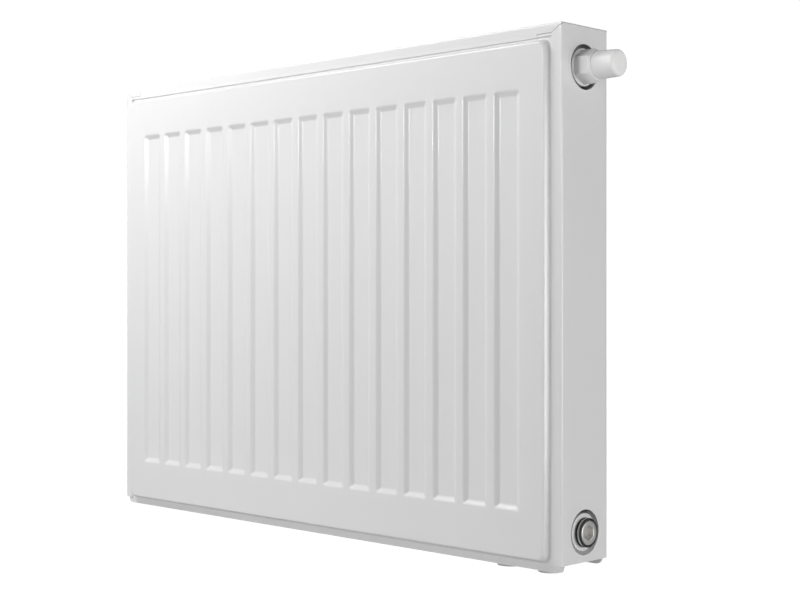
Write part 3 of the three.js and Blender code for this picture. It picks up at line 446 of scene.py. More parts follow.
def panel_sheet(seam, inward, stand_out, depth, fine, shrink=0.0):
    """A pressed sheet over a grid of X and Z with lines crowded on the walls: its depth is the seam,
    less the tray's height, plus the grooves' depth, then it is made a plate of sheet thickness."""
    wall = 10 if fine else 5
    edge = 12 if fine else 7
    rise = (0.0011, 0.0039, TRAY_CORNER)
    runs = [(-SEAM_SIDE, -TRAY_SIDE, 5), (-TRAY_SIDE - rise[0], -TRAY_SIDE + rise[1], edge)]
    runs += [(-TRAY_SIDE + rise[1], -TRAY_SIDE + rise[2], 3), (TRAY_SIDE - rise[2], TRAY_SIDE - rise[1], 3)]
    runs += [(TRAY_SIDE - rise[1], TRAY_SIDE + rise[0], edge), (TRAY_SIDE, SEAM_SIDE, 5)]
    before, within = 0.001, 0.0062
    for i in range(GROOVES):
        left = GROOVE_FIRST + i * GROOVE_PITCH + shrink
        right = left + GROOVE_WIDTH - 2 * shrink
        runs += [(left - before, left + within, wall), (left + within, right - within, 4)]
        runs += [(right - within, right + before, wall)]
    low, high = GROOVE_LOW + shrink, GROOVE_HIGH - shrink
    x = stops(*runs)
    z = stops((0.0, TRAY_LOW - rise[0], 4), (TRAY_LOW - rise[0], TRAY_LOW + rise[1], edge),
              (TRAY_LOW + rise[1], TRAY_LOW + rise[2], 3), (TRAY_LOW + rise[2], low - before, 5),
              (low - before, low + within, wall), (low + within, high - within, 14),
              (high - within, high + before, wall), (high + before, TRAY_HIGH - rise[2], 5),
              (TRAY_HIGH - rise[2], TRAY_HIGH - rise[1], 3),
              (TRAY_HIGH - rise[1], TRAY_HIGH + rise[0], edge), (TRAY_HIGH, SEAM_HIGH, 5))
    x, z = np.meshgrid(x, z)
    y = seam - inward * (tray_height(x, z, stand_out) - groove_depth(x, z, depth, shrink))
    x, z = seam_outline(x, z, 0.006)
    points = np.stack([x, y, z], -1).reshape(-1, 3)
    faces = quads(*x.shape)
    away = -inward if stand_out > 0 else inward
    if away > 0:
        faces = faces[:, ::-1]
    return thickened(points, faces, PANEL_SHEET)


SHEET_OFF_SEAM = PANEL_SHEET + GAP / 2
INNER_GROOVE = INNER_DEPTH + (FRONT_SEAM - FRONT_FACE) - GROOVE_DEPTH - 2 * PANEL_SHEET - 1.5 * GAP
panels = (("front", FRONT_SEAM, 1, FRONT_FACE), ("rear", REAR_SEAM, -1, REAR_FACE))
for panel, seam, inward, face in panels:
    sheet = panel_sheet(seam - inward * SHEET_OFF_SEAM, inward, abs(seam - face) - SHEET_OFF_SEAM,
                        GROOVE_DEPTH, True)
    make(panel + "_outer_sheet", sheet, powder_coat, "radiator", crease=60.0)
for panel, seam, inward, _ in panels:
    sheet = panel_sheet(seam + inward * SHEET_OFF_SEAM, inward, -(INNER_DEPTH - SHEET_OFF_SEAM),
                        -INNER_GROOVE, False, INNER_SHRINK)
    make(panel + "_inner_sheet", sheet, powder_coat, "radiator", crease=60.0)


# ------------------------------------------------------------------ convector
# One thin sheet folded into upright hat-shaped fins and spot welded on the back of the front panel.
# It warms the air that rises between the panels, and it ends short of the riser pipe.
FIN_SHEET, FIN_PITCH, FIN_FLAT, FIN_DEPTH = 0.6 * MM, 0.0262, 0.009, 0.026
FIN_START, FIN_FOOT = -END + 0.052, FRONT_SEAM + INNER_DEPTH + GAP
FINS = 19


def bent(corners, radii, steps=5):
    """A path through corners with each bend rounded: at a bend of radius r it leaves and rejoins the
    straights where an arc of that radius touches them, and the arc is stepped through in between."""
    corners = np.asarray(corners, float)
    path = [corners[0]]
    for i in range(1, len(corners) - 1):
        back, ahead = corners[i - 1] - corners[i], corners[i + 1] - corners[i]
        back, ahead = back / np.linalg.norm(back), ahead / np.linalg.norm(ahead)
        half = math.acos(np.clip(back @ ahead, -1.0, 1.0)) / 2
        radius = radii[i - 1] if np.ndim(radii) else radii
        if radius == 0 or half > math.pi / 2 - 1e-3:
            path.append(corners[i])
            continue
        middle = (back + ahead) / np.linalg.norm(back + ahead)
        centre = corners[i] + middle * radius / math.sin(half)
        start = corners[i] + back * radius / math.tan(half) - centre
        turn = (math.pi - 2 * half) * np.sign(-back[0] * ahead[1] + back[1] * ahead[0])
        angles = np.linspace(0.0, turn, steps + 1)
        cos, sin = np.cos(angles), np.sin(angles)
        arc = np.stack([start[0] * cos - start[1] * sin, start[0] * sin + start[1] * cos], 1) + centre
        path.extend(arc)
    path.append(corners[-1])
    return np.array(path)


def strip(path, axis, low, high, thickness, side=1.0, cuts=2):
    """A sheet bent along a flat path and carried along the third axis: a grid of the path by the
    places along the axis, made a plate towards one side of the path."""
    along = np.linspace(low, high, cuts)
    flat = np.repeat(path[None, :, :], cuts, 0)
    third = np.repeat(along[:, None], len(path), 1)
    order = {"x": (third, flat[..., 0], flat[..., 1]), "y": (flat[..., 0], third, flat[..., 1]),
             "z": (flat[..., 0], flat[..., 1], third)}[axis]
    points = np.stack(order, -1).reshape(-1, 3)
    return outwards(thickened(points, quads(cuts, len(path)), side * thickness))


fin_number = np.arange(FINS)
fin_left = FIN_START + fin_number * FIN_PITCH
fin_slope = FIN_PITCH / 2 - FIN_FLAT
fin_tip = FIN_FOOT + FIN_DEPTH - FIN_SHEET
fin_x = np.stack([fin_left, fin_left + FIN_FLAT, fin_left + FIN_FLAT + fin_slope,
                  fin_left + 2 * FIN_FLAT + fin_slope], 1).reshape(-1)
fin_y = np.tile([FIN_FOOT, FIN_FOOT, fin_tip, fin_tip], FINS)
fin_x = np.append(fin_x, [FIN_START + FINS * FIN_PITCH, FIN_START + FINS * FIN_PITCH + FIN_FLAT])
fin_y = np.append(fin_y, [FIN_FOOT, FIN_FOOT])
fin_path = bent(np.stack([fin_x, fin_y], 1), 0.0014, 3)
make("convector", strip(fin_path, "z", 0.060, HEIGHT - 0.062, FIN_SHEET, side=-1.0, cuts=8), powder_coat,
     "radiator")


# ------------------------------------------------------------------ corner hubs
# Four threaded barrels that carry the valve, the vent and the plugs, each held between the two panels
# by a short tube welded on either side. Turned from steel, then coated with the panels.
HUB_LOW, HUB_HIGH, HUB_RADIUS = 0.034, HEIGHT - 0.038, 0.0175
HUB_MOUTH, HUB_LENGTH, HUB_WALL = 1.5 * MM, 0.054, 0.006
CROSS_INSET, CROSS_RADIUS, CROSS_BORE, CROSS_END = 0.031, 0.013, 0.009, 0.0115
THREAD_RADIUS, THREAD_PITCH = 0.0104775, 1.814 * MM
FEMALE_THREAD = THREAD_RADIUS + GAP


def about_x(along, radius, angle, end, height):
    """Rows spun about an axis along X: distance outside the side cover, radius and angle become
    X, Y and Z, and the axis runs through the middle of the depth."""
    return np.stack([end * (END + along), MIDDLE + radius * np.cos(angle),
                     height + radius * np.sin(angle)], -1)


def tooth_shape(run, angle):
    """A screw thread's rise between 0 and 1: it goes up and down once a pitch, rounded at both ends,
    and its phase goes round once a turn, so it is a helix."""
    phase = run[:, None] / THREAD_PITCH + angle[None, :] / (2 * math.pi)
    tooth = 1.0 - np.abs((phase % 1.0) * 2.0 - 1.0)
    return smooth(np.clip(tooth * 1.5 - 0.25, 0.0, 1.0))


def turned(profile, end, height, sides=96, closed=True):
    """A profile of (distance outside the side cover, radius) spun about an axis along X through the
    middle of the depth. A closed profile is a ring, an open one starts and ends on the axis."""
    profile = np.asarray(profile, float)
    angle = np.linspace(0.0, 2 * math.pi, sides, endpoint=False)
    along = np.repeat(profile[:, :1], sides, 1)
    radius = np.repeat(profile[:, 1:], sides, 1)
    points = about_x(along, radius, angle, end, height)
    return outwards((points.reshape(-1, 3), quads(len(profile), sides, closed, True)))


def softened(profile, radius, steps=3, closed=True):
    """A profile with every corner rounded by one small radius, or by the radius listed for it."""
    profile = np.asarray(profile, float)
    if closed:
        ring = np.concatenate([profile[-1:], profile, profile[:1]])
        return bent(ring, radius, steps)[1:-1]
    return bent(profile, radius, steps)


def threaded(profile_before, start, finish, core, crest, end, height, profile_after, sides=72):
    """A spun shape with a screw thread between start and finish: there the radius rises and falls
    between core and crest with the tooth's shape, and it fades out over a pitch at each end."""
    run = np.linspace(start, finish, max(int(abs(finish - start) / THREAD_PITCH * 8), 8))
    angle = np.linspace(0.0, 2 * math.pi, sides, endpoint=False)
    ends = np.clip(np.minimum(run - run.min(), run.max() - run) / THREAD_PITCH, 0.0, 1.0)[:, None]
    radius = core + (crest - core) * tooth_shape(run, angle) * ends
    along = np.repeat(run[:, None], sides, 1)
    before, after = np.asarray(profile_before, float), np.asarray(profile_after, float)
    along = np.concatenate([np.repeat(before[:, :1], sides, 1), along, np.repeat(after[:, :1], sides, 1)])
    radius = np.concatenate([np.repeat(before[:, 1:], sides, 1), radius, np.repeat(after[:, 1:], sides, 1)])
    points = about_x(along, radius, angle, end, height)
    closed = before[0, 1] > 0
    return outwards((points.reshape(-1, 3), quads(len(along), sides, closed, True)))


def cross_tube(end, height):
    """The tube between the panels, in two lengths that start on the panels with a flare and end inside
    the barrel's wall: ring profiles spun about an axis along Y."""
    flare = 1.6 * MM
    centre = end * (END - CROSS_INSET)
    angle = np.linspace(0.0, 2 * math.pi, 48, endpoint=False)
    lengths = []
    for panel, way in ((FRONT_SEAM + INNER_DEPTH + GAP, 1), (REAR_SEAM - INNER_DEPTH - GAP, -1)):
        wall = MIDDLE - way * CROSS_END
        profile = [(panel, CROSS_BORE), (panel, CROSS_RADIUS + flare), (panel + way * flare, CROSS_RADIUS),
                   (wall, CROSS_RADIUS), (wall, CROSS_BORE)]
        profile = softened(profile, 0.3 * MM)
        radius = np.repeat(profile[:, 1:], 48, 1)
        along = np.repeat(profile[:, :1], 48, 1)
        points = np.stack([centre + radius * np.cos(angle), along, height + radius * np.sin(angle)], -1)
        lengths.append(outwards((points.reshape(-1, 3), quads(len(profile), 48, True, True))))
    return joined(*lengths)


def barrel(end, height):
    """The hub's barrel: a blind bore with a screw thread, chamfered at the mouth."""
    back, mouth = -HUB_MOUTH - HUB_LENGTH, -HUB_MOUTH
    chamfer, thread_start, thread_end = 0.9 * MM, 1.2 * MM, 0.0235
    outside = softened([(back, 0.0), (back, HUB_RADIUS), (mouth, HUB_RADIUS),
                        (mouth, FEMALE_THREAD + chamfer), (mouth - chamfer, FEMALE_THREAD)],
                       [0.8 * MM, 0.5 * MM, 0.15 * MM], closed=False)
    inner = [(mouth - thread_end - 0.5 * MM, FEMALE_THREAD), (back + HUB_WALL, FEMALE_THREAD),
             (back + HUB_WALL, 0.0)]
    return threaded(outside, mouth - thread_start, mouth - thread_end, FEMALE_THREAD,
                    FEMALE_THREAD + 0.5 * MM, end, height, inner)


for hub_name, hub_end, hub_height in (("valve_housing", 1, HUB_HIGH), ("drain_hub", 1, HUB_LOW),
                                      ("vent_hub", -1, HUB_HIGH), ("blind_hub", -1, HUB_LOW)):
    hub = joined(barrel(hub_end, hub_height), cross_tube(hub_end, hub_height))
    make(hub_name, hub, powder_coat, "radiator")


# ------------------------------------------------------------------ riser pipe, stubs and bracket
# The supply comes up a bent steel pipe to the back of the valve housing. Two short outside-threaded
# stubs reach down through the bottom, in a strap with two holes that keeps them 50 mm apart.
RETURN_X, SUPPLY_X = END - 0.040, END - 0.090
STUB_RADIUS, STUB_BORE, STUB_LOW, STUB_RIM = 0.0132, 0.0093, -0.007, 0.002
RISER_RADIUS, RISER_BORE, RISER_BEND, SUPPLY_TOP = 0.008, 0.0064, 0.0225, 0.018
THREAD_TOP, THREAD_DEPTH = 0.004, 0.9 * MM


def upright_thread(x, top, sides=96):
    """A stub: a ring profile spun about an upright axis, with a helical thread on its outside."""
    run = np.linspace(STUB_LOW + STUB_RIM, THREAD_TOP, 40)
    angle = np.linspace(0.0, 2 * math.pi, sides, endpoint=False)
    fade_in = np.clip((run - run[0]) / (0.5 * THREAD_PITCH), 0.0, 1.0)[:, None]
    core = STUB_RADIUS - THREAD_DEPTH
    run_out = 1.0 - np.clip((THREAD_TOP - run) / 0.001, 0, 1)[:, None]
    thread = core + (STUB_RADIUS - core) * np.maximum(tooth_shape(run, angle), run_out) * fade_in
    lower = softened([(STUB_LOW + 2 * MM, STUB_BORE), (STUB_LOW, STUB_BORE), (STUB_LOW, core - 0.3 * MM),
                      (STUB_LOW + STUB_RIM, core)], [0.4 * MM, 0.3 * MM], closed=False)
    upper = softened([(THREAD_TOP, STUB_RADIUS), (top, STUB_RADIUS), (top, STUB_BORE), (top - MM, STUB_BORE)],
                     [0.5 * MM, 0.3 * MM], closed=False)
    along = np.concatenate([lower[:, 0], run, upper[:, 0]])[:, None] * np.ones(sides)
    radius = np.concatenate([lower[:, 1:] * np.ones(sides), thread, upper[:, 1:] * np.ones(sides)])
    points = np.stack([x + radius * np.cos(angle), MIDDLE + radius * np.sin(angle), along], -1)
    return outwards((points.reshape(-1, 3), quads(len(along), sides, True, True)))


make("return_stub", upright_thread(RETURN_X, HUB_LOW - 0.0172), powder_coat, "radiator")
make("supply_stub", upright_thread(SUPPLY_X, SUPPLY_TOP), powder_coat, "radiator")


def tube(path, radius, bore, sides=32):
    """A pipe along a flat path in X and Z: at each point its round section lies across the path, once
    at the outer radius going out and once at the bore coming back, closed into one surface."""
    tangent = np.gradient(path, axis=0)
    tangent /= np.linalg.norm(tangent, axis=1, keepdims=True)
    across = np.stack([-tangent[:, 1], tangent[:, 0]], 1)
    angle = np.linspace(0.0, 2 * math.pi, sides, endpoint=False)
    layers = []
    for size, order in ((radius, slice(None)), (bore, slice(None, None, -1))):
        line, side = path[order], across[order]
        x = line[:, :1] + side[:, :1] * size * np.cos(angle)
        z = line[:, 1:] + side[:, 1:] * size * np.cos(angle)
        y = MIDDLE + size * np.sin(angle) * np.ones((len(line), 1))
        layers.append(np.stack([x, y, z], -1))
    grid = np.concatenate(layers)
    return outwards((grid.reshape(-1, 3), quads(len(grid), sides, True, True)))


riser_end = END - HUB_MOUTH - HUB_LENGTH - GAP
riser_path = bent([(SUPPLY_X, SUPPLY_TOP + GAP), (SUPPLY_X, HUB_HIGH), (riser_end, HUB_HIGH)], RISER_BEND, 16)
make("riser_pipe", tube(riser_path, RISER_RADIUS, RISER_BORE), powder_coat, "radiator")


def holed_cell(centre, low, high, count, hole):
    """A flat rectangle with a hole, as a ring of quads: points spaced evenly along each side of the
    rectangle join to hole(direction), the point of the hole's edge in the same direction."""
    low, high, centre = np.array(low, float), np.array(high, float), np.array(centre, float)
    t = np.linspace(0.0, 1.0, count + 1)[:-1]
    flat = np.zeros_like(t)
    sides = ((t, flat), (flat + 1, t), (1 - t, flat + 1), (flat, 1 - t))
    around = np.concatenate([np.stack(side, 1) for side in sides])
    outer = low + around * (high - low)
    inner = hole(outer - centre) + centre
    levels = np.linspace(0.0, 1.0, 5)[:, None, None]
    grid = inner[None] * (1 - levels) + outer[None] * levels
    return grid.reshape(-1, 2), quads(len(levels), 4 * count, False, True)[:, ::-1]


def round_hole(radius):
    """The point at the given radius in a direction."""
    return lambda way: way / np.linalg.norm(way, axis=1, keepdims=True) * radius


strap_low, strap_high = MIDDLE - STUB_RADIUS - 3 * MM, MIDDLE + STUB_RADIUS + 3 * MM
strap_mid = (RETURN_X + SUPPLY_X) / 2
strap_cells = joined(
    holed_cell((SUPPLY_X, MIDDLE), (SUPPLY_X - STUB_RADIUS - 3 * MM, strap_low), (strap_mid, strap_high), 16,
               round_hole(STUB_RADIUS + GAP)),
    holed_cell((RETURN_X, MIDDLE), (strap_mid, strap_low), (RETURN_X + STUB_RADIUS + 3 * MM, strap_high), 16,
               round_hole(STUB_RADIUS + GAP)))
strap_points = np.column_stack([strap_cells[0], np.full(len(strap_cells[0]), 0.007)])
make("stub_bracket", outwards(thickened(strap_points, strap_cells[1], 3 * MM)), powder_coat, "radiator",
     bevel=0.3 * MM)


# ------------------------------------------------------------------ side covers
# Folded from one sheet each: a wall with two round holes for the valve and the plugs, a lip folded
# round the front and the back, and a top flange. They hook on after the panels are coated.
COVER_LOW, LIP_WIDTH, LIP_HEIGHT, TAB_LENGTH, TAB_HEIGHT = 0.0065, 0.0118, 0.012, 0.0283, 0.0088
COVER_HOLE, FOLD, MITRE_GAP = 0.021, 1.9 * MM, 0.55 * MM
TOP_FOLD = 0.8 * FOLD
WALL_FRONT, WALL_REAR = FRONT_LIP + FOLD, REAR_LIP - FOLD
HOLE_CELL = 0.0275
COVER_ROWS = 14


def wall_heights(top):
    """The heights of the grid's rows, which the wall, its folds and its lips share."""
    lower = np.linspace(COVER_LOW, HUB_LOW + HOLE_CELL, COVER_ROWS + 1)
    middle = np.linspace(HUB_LOW + HOLE_CELL, HUB_HIGH - HOLE_CELL, 13)
    upper = np.linspace(HUB_HIGH - HOLE_CELL, top, COVER_ROWS + 1)
    return np.unique(np.concatenate([lower, middle, upper]))


def cover_wall(end, top):
    """The flat wall: a holed cell round each hole and a plain grid between the two cells."""
    hole = round_hole(COVER_HOLE)
    cells = []
    ends = ((HUB_LOW, COVER_LOW, HUB_LOW + HOLE_CELL), (HUB_HIGH, HUB_HIGH - HOLE_CELL, top))
    for height, low, high in ends:
        cells.append(holed_cell((MIDDLE, height), (WALL_FRONT, low), (WALL_REAR, high), COVER_ROWS, hole))
    y, z = np.meshgrid(np.linspace(WALL_FRONT, WALL_REAR, COVER_ROWS + 1),
                       np.linspace(HUB_LOW + HOLE_CELL, HUB_HIGH - HOLE_CELL, 13))
    cells.append((np.stack([y, z], -1).reshape(-1, 2), quads(*y.shape)))
    flat, faces = joined(*cells)
    return np.column_stack([np.full(len(flat), end * END), flat]), faces


def cover_side(end, top, front):
    """A fold and a lip: a quarter circle of the fold's radius from the wall, then flat to the lip's
    edge. Each column's rows are stretched to its own top, which follows the mitre."""
    turn = np.linspace(0.0, math.pi / 2, 7)
    inset = np.concatenate([FOLD * (1 - np.cos(turn)), np.linspace(FOLD, LIP_WIDTH, 5)[1:]])
    depth = np.concatenate([FOLD * (1 - np.sin(turn)), np.zeros(4)])
    rows = wall_heights(top)
    share = (rows - COVER_LOW) / (top - COVER_LOW)
    drop = 0.0 if end < 0 else TOP_FOLD
    slant = HEIGHT - drop - MITRE_GAP - (inset - GAP) / (LIP_WIDTH - GAP) * (TAB_HEIGHT - drop)
    mitre_top = np.where(inset > 0, np.minimum(slant, top), top)
    z = COVER_LOW + share[:, None] * (mitre_top[None, :] - COVER_LOW)
    z[: len(rows) - COVER_ROWS] = rows[: len(rows) - COVER_ROWS, None]
    above = rows[-COVER_ROWS - 1]
    stretch = (rows[-COVER_ROWS - 1:] - above) / (rows[-1] - above)
    z[-COVER_ROWS - 1:] = above + stretch[:, None] * (mitre_top[None, :] - above)
    x = np.repeat(end * (END - inset)[None, :], len(rows), 0)
    y = (FRONT_LIP + depth if front else REAR_LIP - depth)[None, :] + np.zeros_like(x)
    return np.stack([x, y, z], -1).reshape(-1, 3), quads(*x.shape)


def oriented(shell, way):
    """An open sheet's faces turned so that their mean normal points the given way."""
    points, faces = shell
    p = points[faces]
    mean = np.cross(p[:, 2] - p[:, 0], p[:, 3] - p[:, 1]).sum(0)
    return (points, faces[:, ::-1]) if mean @ np.array(way, float) < 0 else shell


def top_bend(start, finish):
    """The folded top of the left cover: front lip, fold, flat top, fold, rear lip, carried along X.
    Columns of the lips end on the mitre line."""
    tab_low = HEIGHT - TAB_HEIGHT
    path = bent([(FRONT_LIP, tab_low), (FRONT_LIP, HEIGHT), (REAR_LIP, HEIGHT), (REAR_LIP, tab_low)],
                TOP_FOLD, 6)
    along = np.linspace(start, finish, 9)
    x = np.repeat(along[:, None], len(path), 1)
    drop = np.clip((HEIGHT - path[:, 1]) / TAB_HEIGHT, 0.0, 1.0)
    limit = finish - drop * LIP_WIDTH * np.sign(finish)
    x = start + (x - start) * (limit - start)[None, :] / (finish - start)
    y = np.repeat(path[None, :, 0], len(along), 0)
    z = np.repeat(path[None, :, 1], len(along), 0)
    return np.stack([x, y, z], -1).reshape(-1, 3), quads(*x.shape)


def side_cover(end):
    """A cover: wall, two folds with lips, toes beside the lips' tops, and the top flange, which lies
    over the grille's level at the vent end and under its plate at the valve end."""
    over = end < 0
    top = HEIGHT if over else HEIGHT - COVER_SHEET - GAP
    wall = oriented(cover_wall(end, top), (end, 0, 0))
    front = oriented(cover_side(end, top, True), (end * 0.1, -1, 0))
    rear = oriented(cover_side(end, top, False), (end * 0.1, 1, 0))
    shells = [thickened(*joined(wall, front, rear), COVER_SHEET)]
    for depth, way in ((FRONT_LIP, -1), (REAR_LIP, 1)):
        a, b = end * (END - LIP_WIDTH - 0.05 * MM), end * (END - TAB_LENGTH)
        toe_x, toe_z = np.meshgrid([a, b], [HEIGHT - LIP_HEIGHT + GAP, HEIGHT - TAB_HEIGHT - MITRE_GAP])
        toe = np.stack([toe_x, np.full_like(toe_x, depth), toe_z], -1).reshape(-1, 3), quads(2, 2)
        shells.append(thickened(*oriented(toe, (0, way, 0)), COVER_SHEET))
    if over:
        flange = top_bend(-END + TAB_LENGTH, -END + 0.2 * MM)
    else:
        depths = np.linspace(FRONT_LIP + 1.3 * MM, REAR_LIP - 1.3 * MM, 5)
        x, y = np.meshgrid([END - TAB_LENGTH, END - COVER_SHEET], depths)
        flange = np.stack([x, y, np.full_like(x, top)], -1).reshape(-1, 3), quads(*x.shape)
    shells.append(thickened(*oriented(flange, (0, 0, 1)), COVER_SHEET))
    return joined(*shells)


make("side_cover_right", side_cover(1), powder_coat, "radiator", crease=35.0)
make("side_cover_left", side_cover(-1), powder_coat, "radiator", crease=35.0)


# ------------------------------------------------------------------ top grille
# The slotted cover that lies on the two panels' seams between the side covers, with a lip folded down
# at the front and the back. Two spring clips under it grip the seams.
GRILLE_LEFT, GRILLE_RIGHT = -END + TAB_LENGTH + GAP, END - GAP
SLOT_PITCH, SLOT_WIDTH, SLOT_LENGTH, SLOT_ROW_PITCH = 0.0125, 0.006, 0.022, 0.030
slot_room = (END - TAB_LENGTH - GRILLE_LEFT - 0.044 - SLOT_WIDTH)
SLOTS = int(math.floor(slot_room / SLOT_PITCH)) + 1
SLOT_FIRST = (GRILLE_LEFT + END - TAB_LENGTH - (SLOTS - 1) * SLOT_PITCH) / 2


def long_hole(way):
    """The edge of a slot with round ends: a straight of half the free length, then a half circle."""
    straight = (SLOT_LENGTH - SLOT_WIDTH) / 2
    middle = np.clip(way[:, 1] * straight / (SLOT_ROW_PITCH / 2), -straight, straight)
    reach = np.column_stack([way[:, 0], way[:, 1] - middle])
    reach = reach / np.linalg.norm(reach, axis=1, keepdims=True) * SLOT_WIDTH / 2
    return np.column_stack([reach[:, 0], reach[:, 1] + middle])


def grille_plate():
    """The slotted top: one holed cell repeated by adding the places of all slots at once, and plain
    strips before, beside and after them."""
    half_x, half_y = SLOT_PITCH / 2, SLOT_ROW_PITCH / 2
    flat, faces = holed_cell((0, 0), (-half_x, -half_y), (half_x, half_y), 4, long_hole)
    x, y = np.meshgrid(SLOT_FIRST + np.arange(SLOTS) * SLOT_PITCH, [MIDDLE - half_y, MIDDLE + half_y])
    places = np.stack([x.reshape(-1), y.reshape(-1)], 1)
    cells = (flat[None] + places[:, None]).reshape(-1, 2)
    cell_faces = (faces[None] + (np.arange(len(places)) * len(flat))[:, None, None]).reshape(-1, 4)
    left, right = SLOT_FIRST - SLOT_PITCH / 2, SLOT_FIRST + (SLOTS - 0.5) * SLOT_PITCH
    near, far = MIDDLE - SLOT_ROW_PITCH, MIDDLE + SLOT_ROW_PITCH
    columns = np.concatenate([[GRILLE_LEFT], np.linspace(left, right, SLOTS * 4 + 1), [GRILLE_RIGHT]])
    inner = MIDDLE + np.linspace(-1.0, 1.0, 9) * SLOT_ROW_PITCH
    parts = [(cells, cell_faces)]
    for side in ((GRILLE_LEFT, left), (right, GRILLE_RIGHT)):
        gx, gy = np.meshgrid(side, inner)
        parts.append((np.stack([gx, gy], -1).reshape(-1, 2), quads(*gx.shape)))
    flat, faces = joined(*parts)
    plate = oriented((np.column_stack([flat, np.full(len(flat), HEIGHT)]), faces), (0, 0, 1))
    folds = []
    radius = TOP_FOLD
    for way, lip, edge in ((-1, FRONT_LIP, near), (1, REAR_LIP, far)):
        turn = np.linspace(0.0, math.pi / 2, 7)
        y = np.concatenate([[edge], lip - way * radius * (1 - np.sin(turn)), [lip] * 4])
        lip_rows = HEIGHT - np.array([0.004, 0.007, TAB_HEIGHT - 0.0004, TAB_HEIGHT])
        z = np.concatenate([[HEIGHT], HEIGHT - radius * (1 - np.cos(turn)), lip_rows])
        drop = np.clip((HEIGHT - z - radius) / (TAB_HEIGHT - radius), 0.0, 1.0)
        limit = GRILLE_RIGHT - drop * (LIP_WIDTH - GAP)
        share = (columns - GRILLE_LEFT) / (GRILLE_RIGHT - GRILLE_LEFT)
        gx = GRILLE_LEFT + share[None, :] * (limit - GRILLE_LEFT)[:, None]
        gx[0] = columns
        gy, gz = np.repeat(y[:, None], len(columns), 1), np.repeat(z[:, None], len(columns), 1)
        folds.append(oriented((np.stack([gx, gy, gz], -1).reshape(-1, 3), quads(*gx.shape)), (0, way, 0.5)))
    shells = [thickened(*joined(plate, *folds), COVER_SHEET)]
    for depth, way in ((FRONT_LIP, -1), (REAR_LIP, 1)):
        gx, gz = np.meshgrid([GRILLE_LEFT, END - TAB_LENGTH - MITRE_GAP],
                             [HEIGHT - LIP_HEIGHT, HEIGHT - TAB_HEIGHT + 0.05 * MM])
        low_lip = np.stack([gx, np.full_like(gx, depth), gz], -1).reshape(-1, 3), quads(2, 2)
        shells.append(thickened(*oriented(low_lip, (0, way, 0)), COVER_SHEET))
    return joined(*shells)


make("top_grille", grille_plate(), powder_coat, "radiator", crease=35.0)

spring_steel = finish_of(
    "spring_steel", (0.42, 0.42, 0.43, 1.0), (0.36, 0.36, 0.38, 1.0), 0.38, 0.08, 1.0, 900.0, 0.00004,
    (0.62, 0.62, 0.63, 1.0), (0.30, 0.30, 0.29, 1.0))
CLIP_SHEET, CLIP_HALF, CLIP_LEG = 0.8 * MM, 0.007, 0.005
clip_top = SEAM_HIGH + GAP
clip_reach = SHEET_OFF_SEAM + PANEL_SHEET - 0.9 * MM
clip_front, clip_rear = FRONT_SEAM + clip_reach, REAR_SEAM - clip_reach
for clip_side, clip_x in (("left", -END + 0.190), ("right", END - 0.190)):
    low, high = clip_top - GAP - CLIP_LEG, clip_top + CLIP_SHEET
    clip_path = bent([(clip_front, low), (clip_front, high), (clip_rear, high), (clip_rear, low)],
                     1.2 * MM, 5)
    clip = strip(clip_path, "x", clip_x - CLIP_HALF, clip_x + CLIP_HALF, CLIP_SHEET)
    make("grille_clip_" + clip_side, clip, spring_steel, "radiator")


# ------------------------------------------------------------------ thermostatic valve insert
# A brass insert screwed into the upper right hub: seat, thread and flange, and the neck that the cap
# screws on. Its gland nut holds the spindle's ring seal.
brass = finish_of(
    "brass", (0.62, 0.44, 0.20, 1.0), (0.52, 0.36, 0.16, 1.0), 0.30, 0.08, 1.0, 900.0, 0.00003,
    (0.80, 0.64, 0.36, 1.0), (0.45, 0.36, 0.22, 1.0))
black_rubber = finish_of(
    "black_rubber", (0.012, 0.012, 0.012, 1.0), (0.02, 0.02, 0.02, 1.0), 0.55, 0.10, 0.0, 1400.0, 0.00005,
    (0.05, 0.05, 0.05, 1.0), (0.09, 0.09, 0.085, 1.0), wear=0.5)
white_plastic = finish_of(
    "white_plastic", (0.93, 0.93, 0.925, 1.0), (0.91, 0.91, 0.905, 1.0), 0.34, 0.05, 0.0, 1500.0, 0.00004,
    (0.95, 0.95, 0.94, 1.0), (0.76, 0.76, 0.74, 1.0), wear=0.6)
bright_steel = finish_of(
    "turned_steel", (0.56, 0.57, 0.58, 1.0), (0.48, 0.49, 0.50, 1.0), 0.26, 0.07, 1.0, 1100.0, 0.00003,
    (0.74, 0.74, 0.75, 1.0), (0.42, 0.42, 0.40, 1.0))
insert_outline = [(-39.5, 4.5), (-39.5, 9), (-18, 9), (-18, 10.0), (-17.4, 10.3)]
insert_after = [(-7, 9), (-5, 9), (-5, 10.4), (-1.2, 10.4), (-1.2, 13), (0, 13), (0, 11), (14, 11), (14, 8.2),
                (5, 8.2), (5, 7), (-20, 7), (-20, 3), (-22, 3), (-22, 7), (-37, 7), (-37, 4.5)]
insert_before = bent(np.array(insert_outline) * MM, 0.25 * MM, 2)
insert_after = bent(np.array(insert_after) * MM, 0.22 * MM, 2)
valve_insert = threaded(insert_before, -17.2 * MM, -7.2 * MM, 9.6 * MM, 10.4 * MM, 1, HUB_HIGH, insert_after)
make("valve_insert", valve_insert, brass, "radiator")
gland = np.array([(5.3, 1.8), (6.5, 1.8), (6.5, 4), (8.5, 4), (8.5, 1.8), (16, 1.8), (16, 5), (14, 5),
                  (14, 7.9), (5.3, 7.9)]) * MM
make("gland_nut", turned(softened(gland, 0.15 * MM, 2), 1, HUB_HIGH, 48), brass, "radiator")


def rubber_ring(start, finish, outer, inner, end, height, sides=96):
    """A ring seal, its sizes in millimetres: a section with strongly rounded corners, spun."""
    section = np.array([(start, inner), (start, outer), (finish, outer), (finish, inner)]) * MM
    radius = 0.45 * min(finish - start, outer - inner) * MM
    return turned(softened(section, radius, 5), end, height, sides)


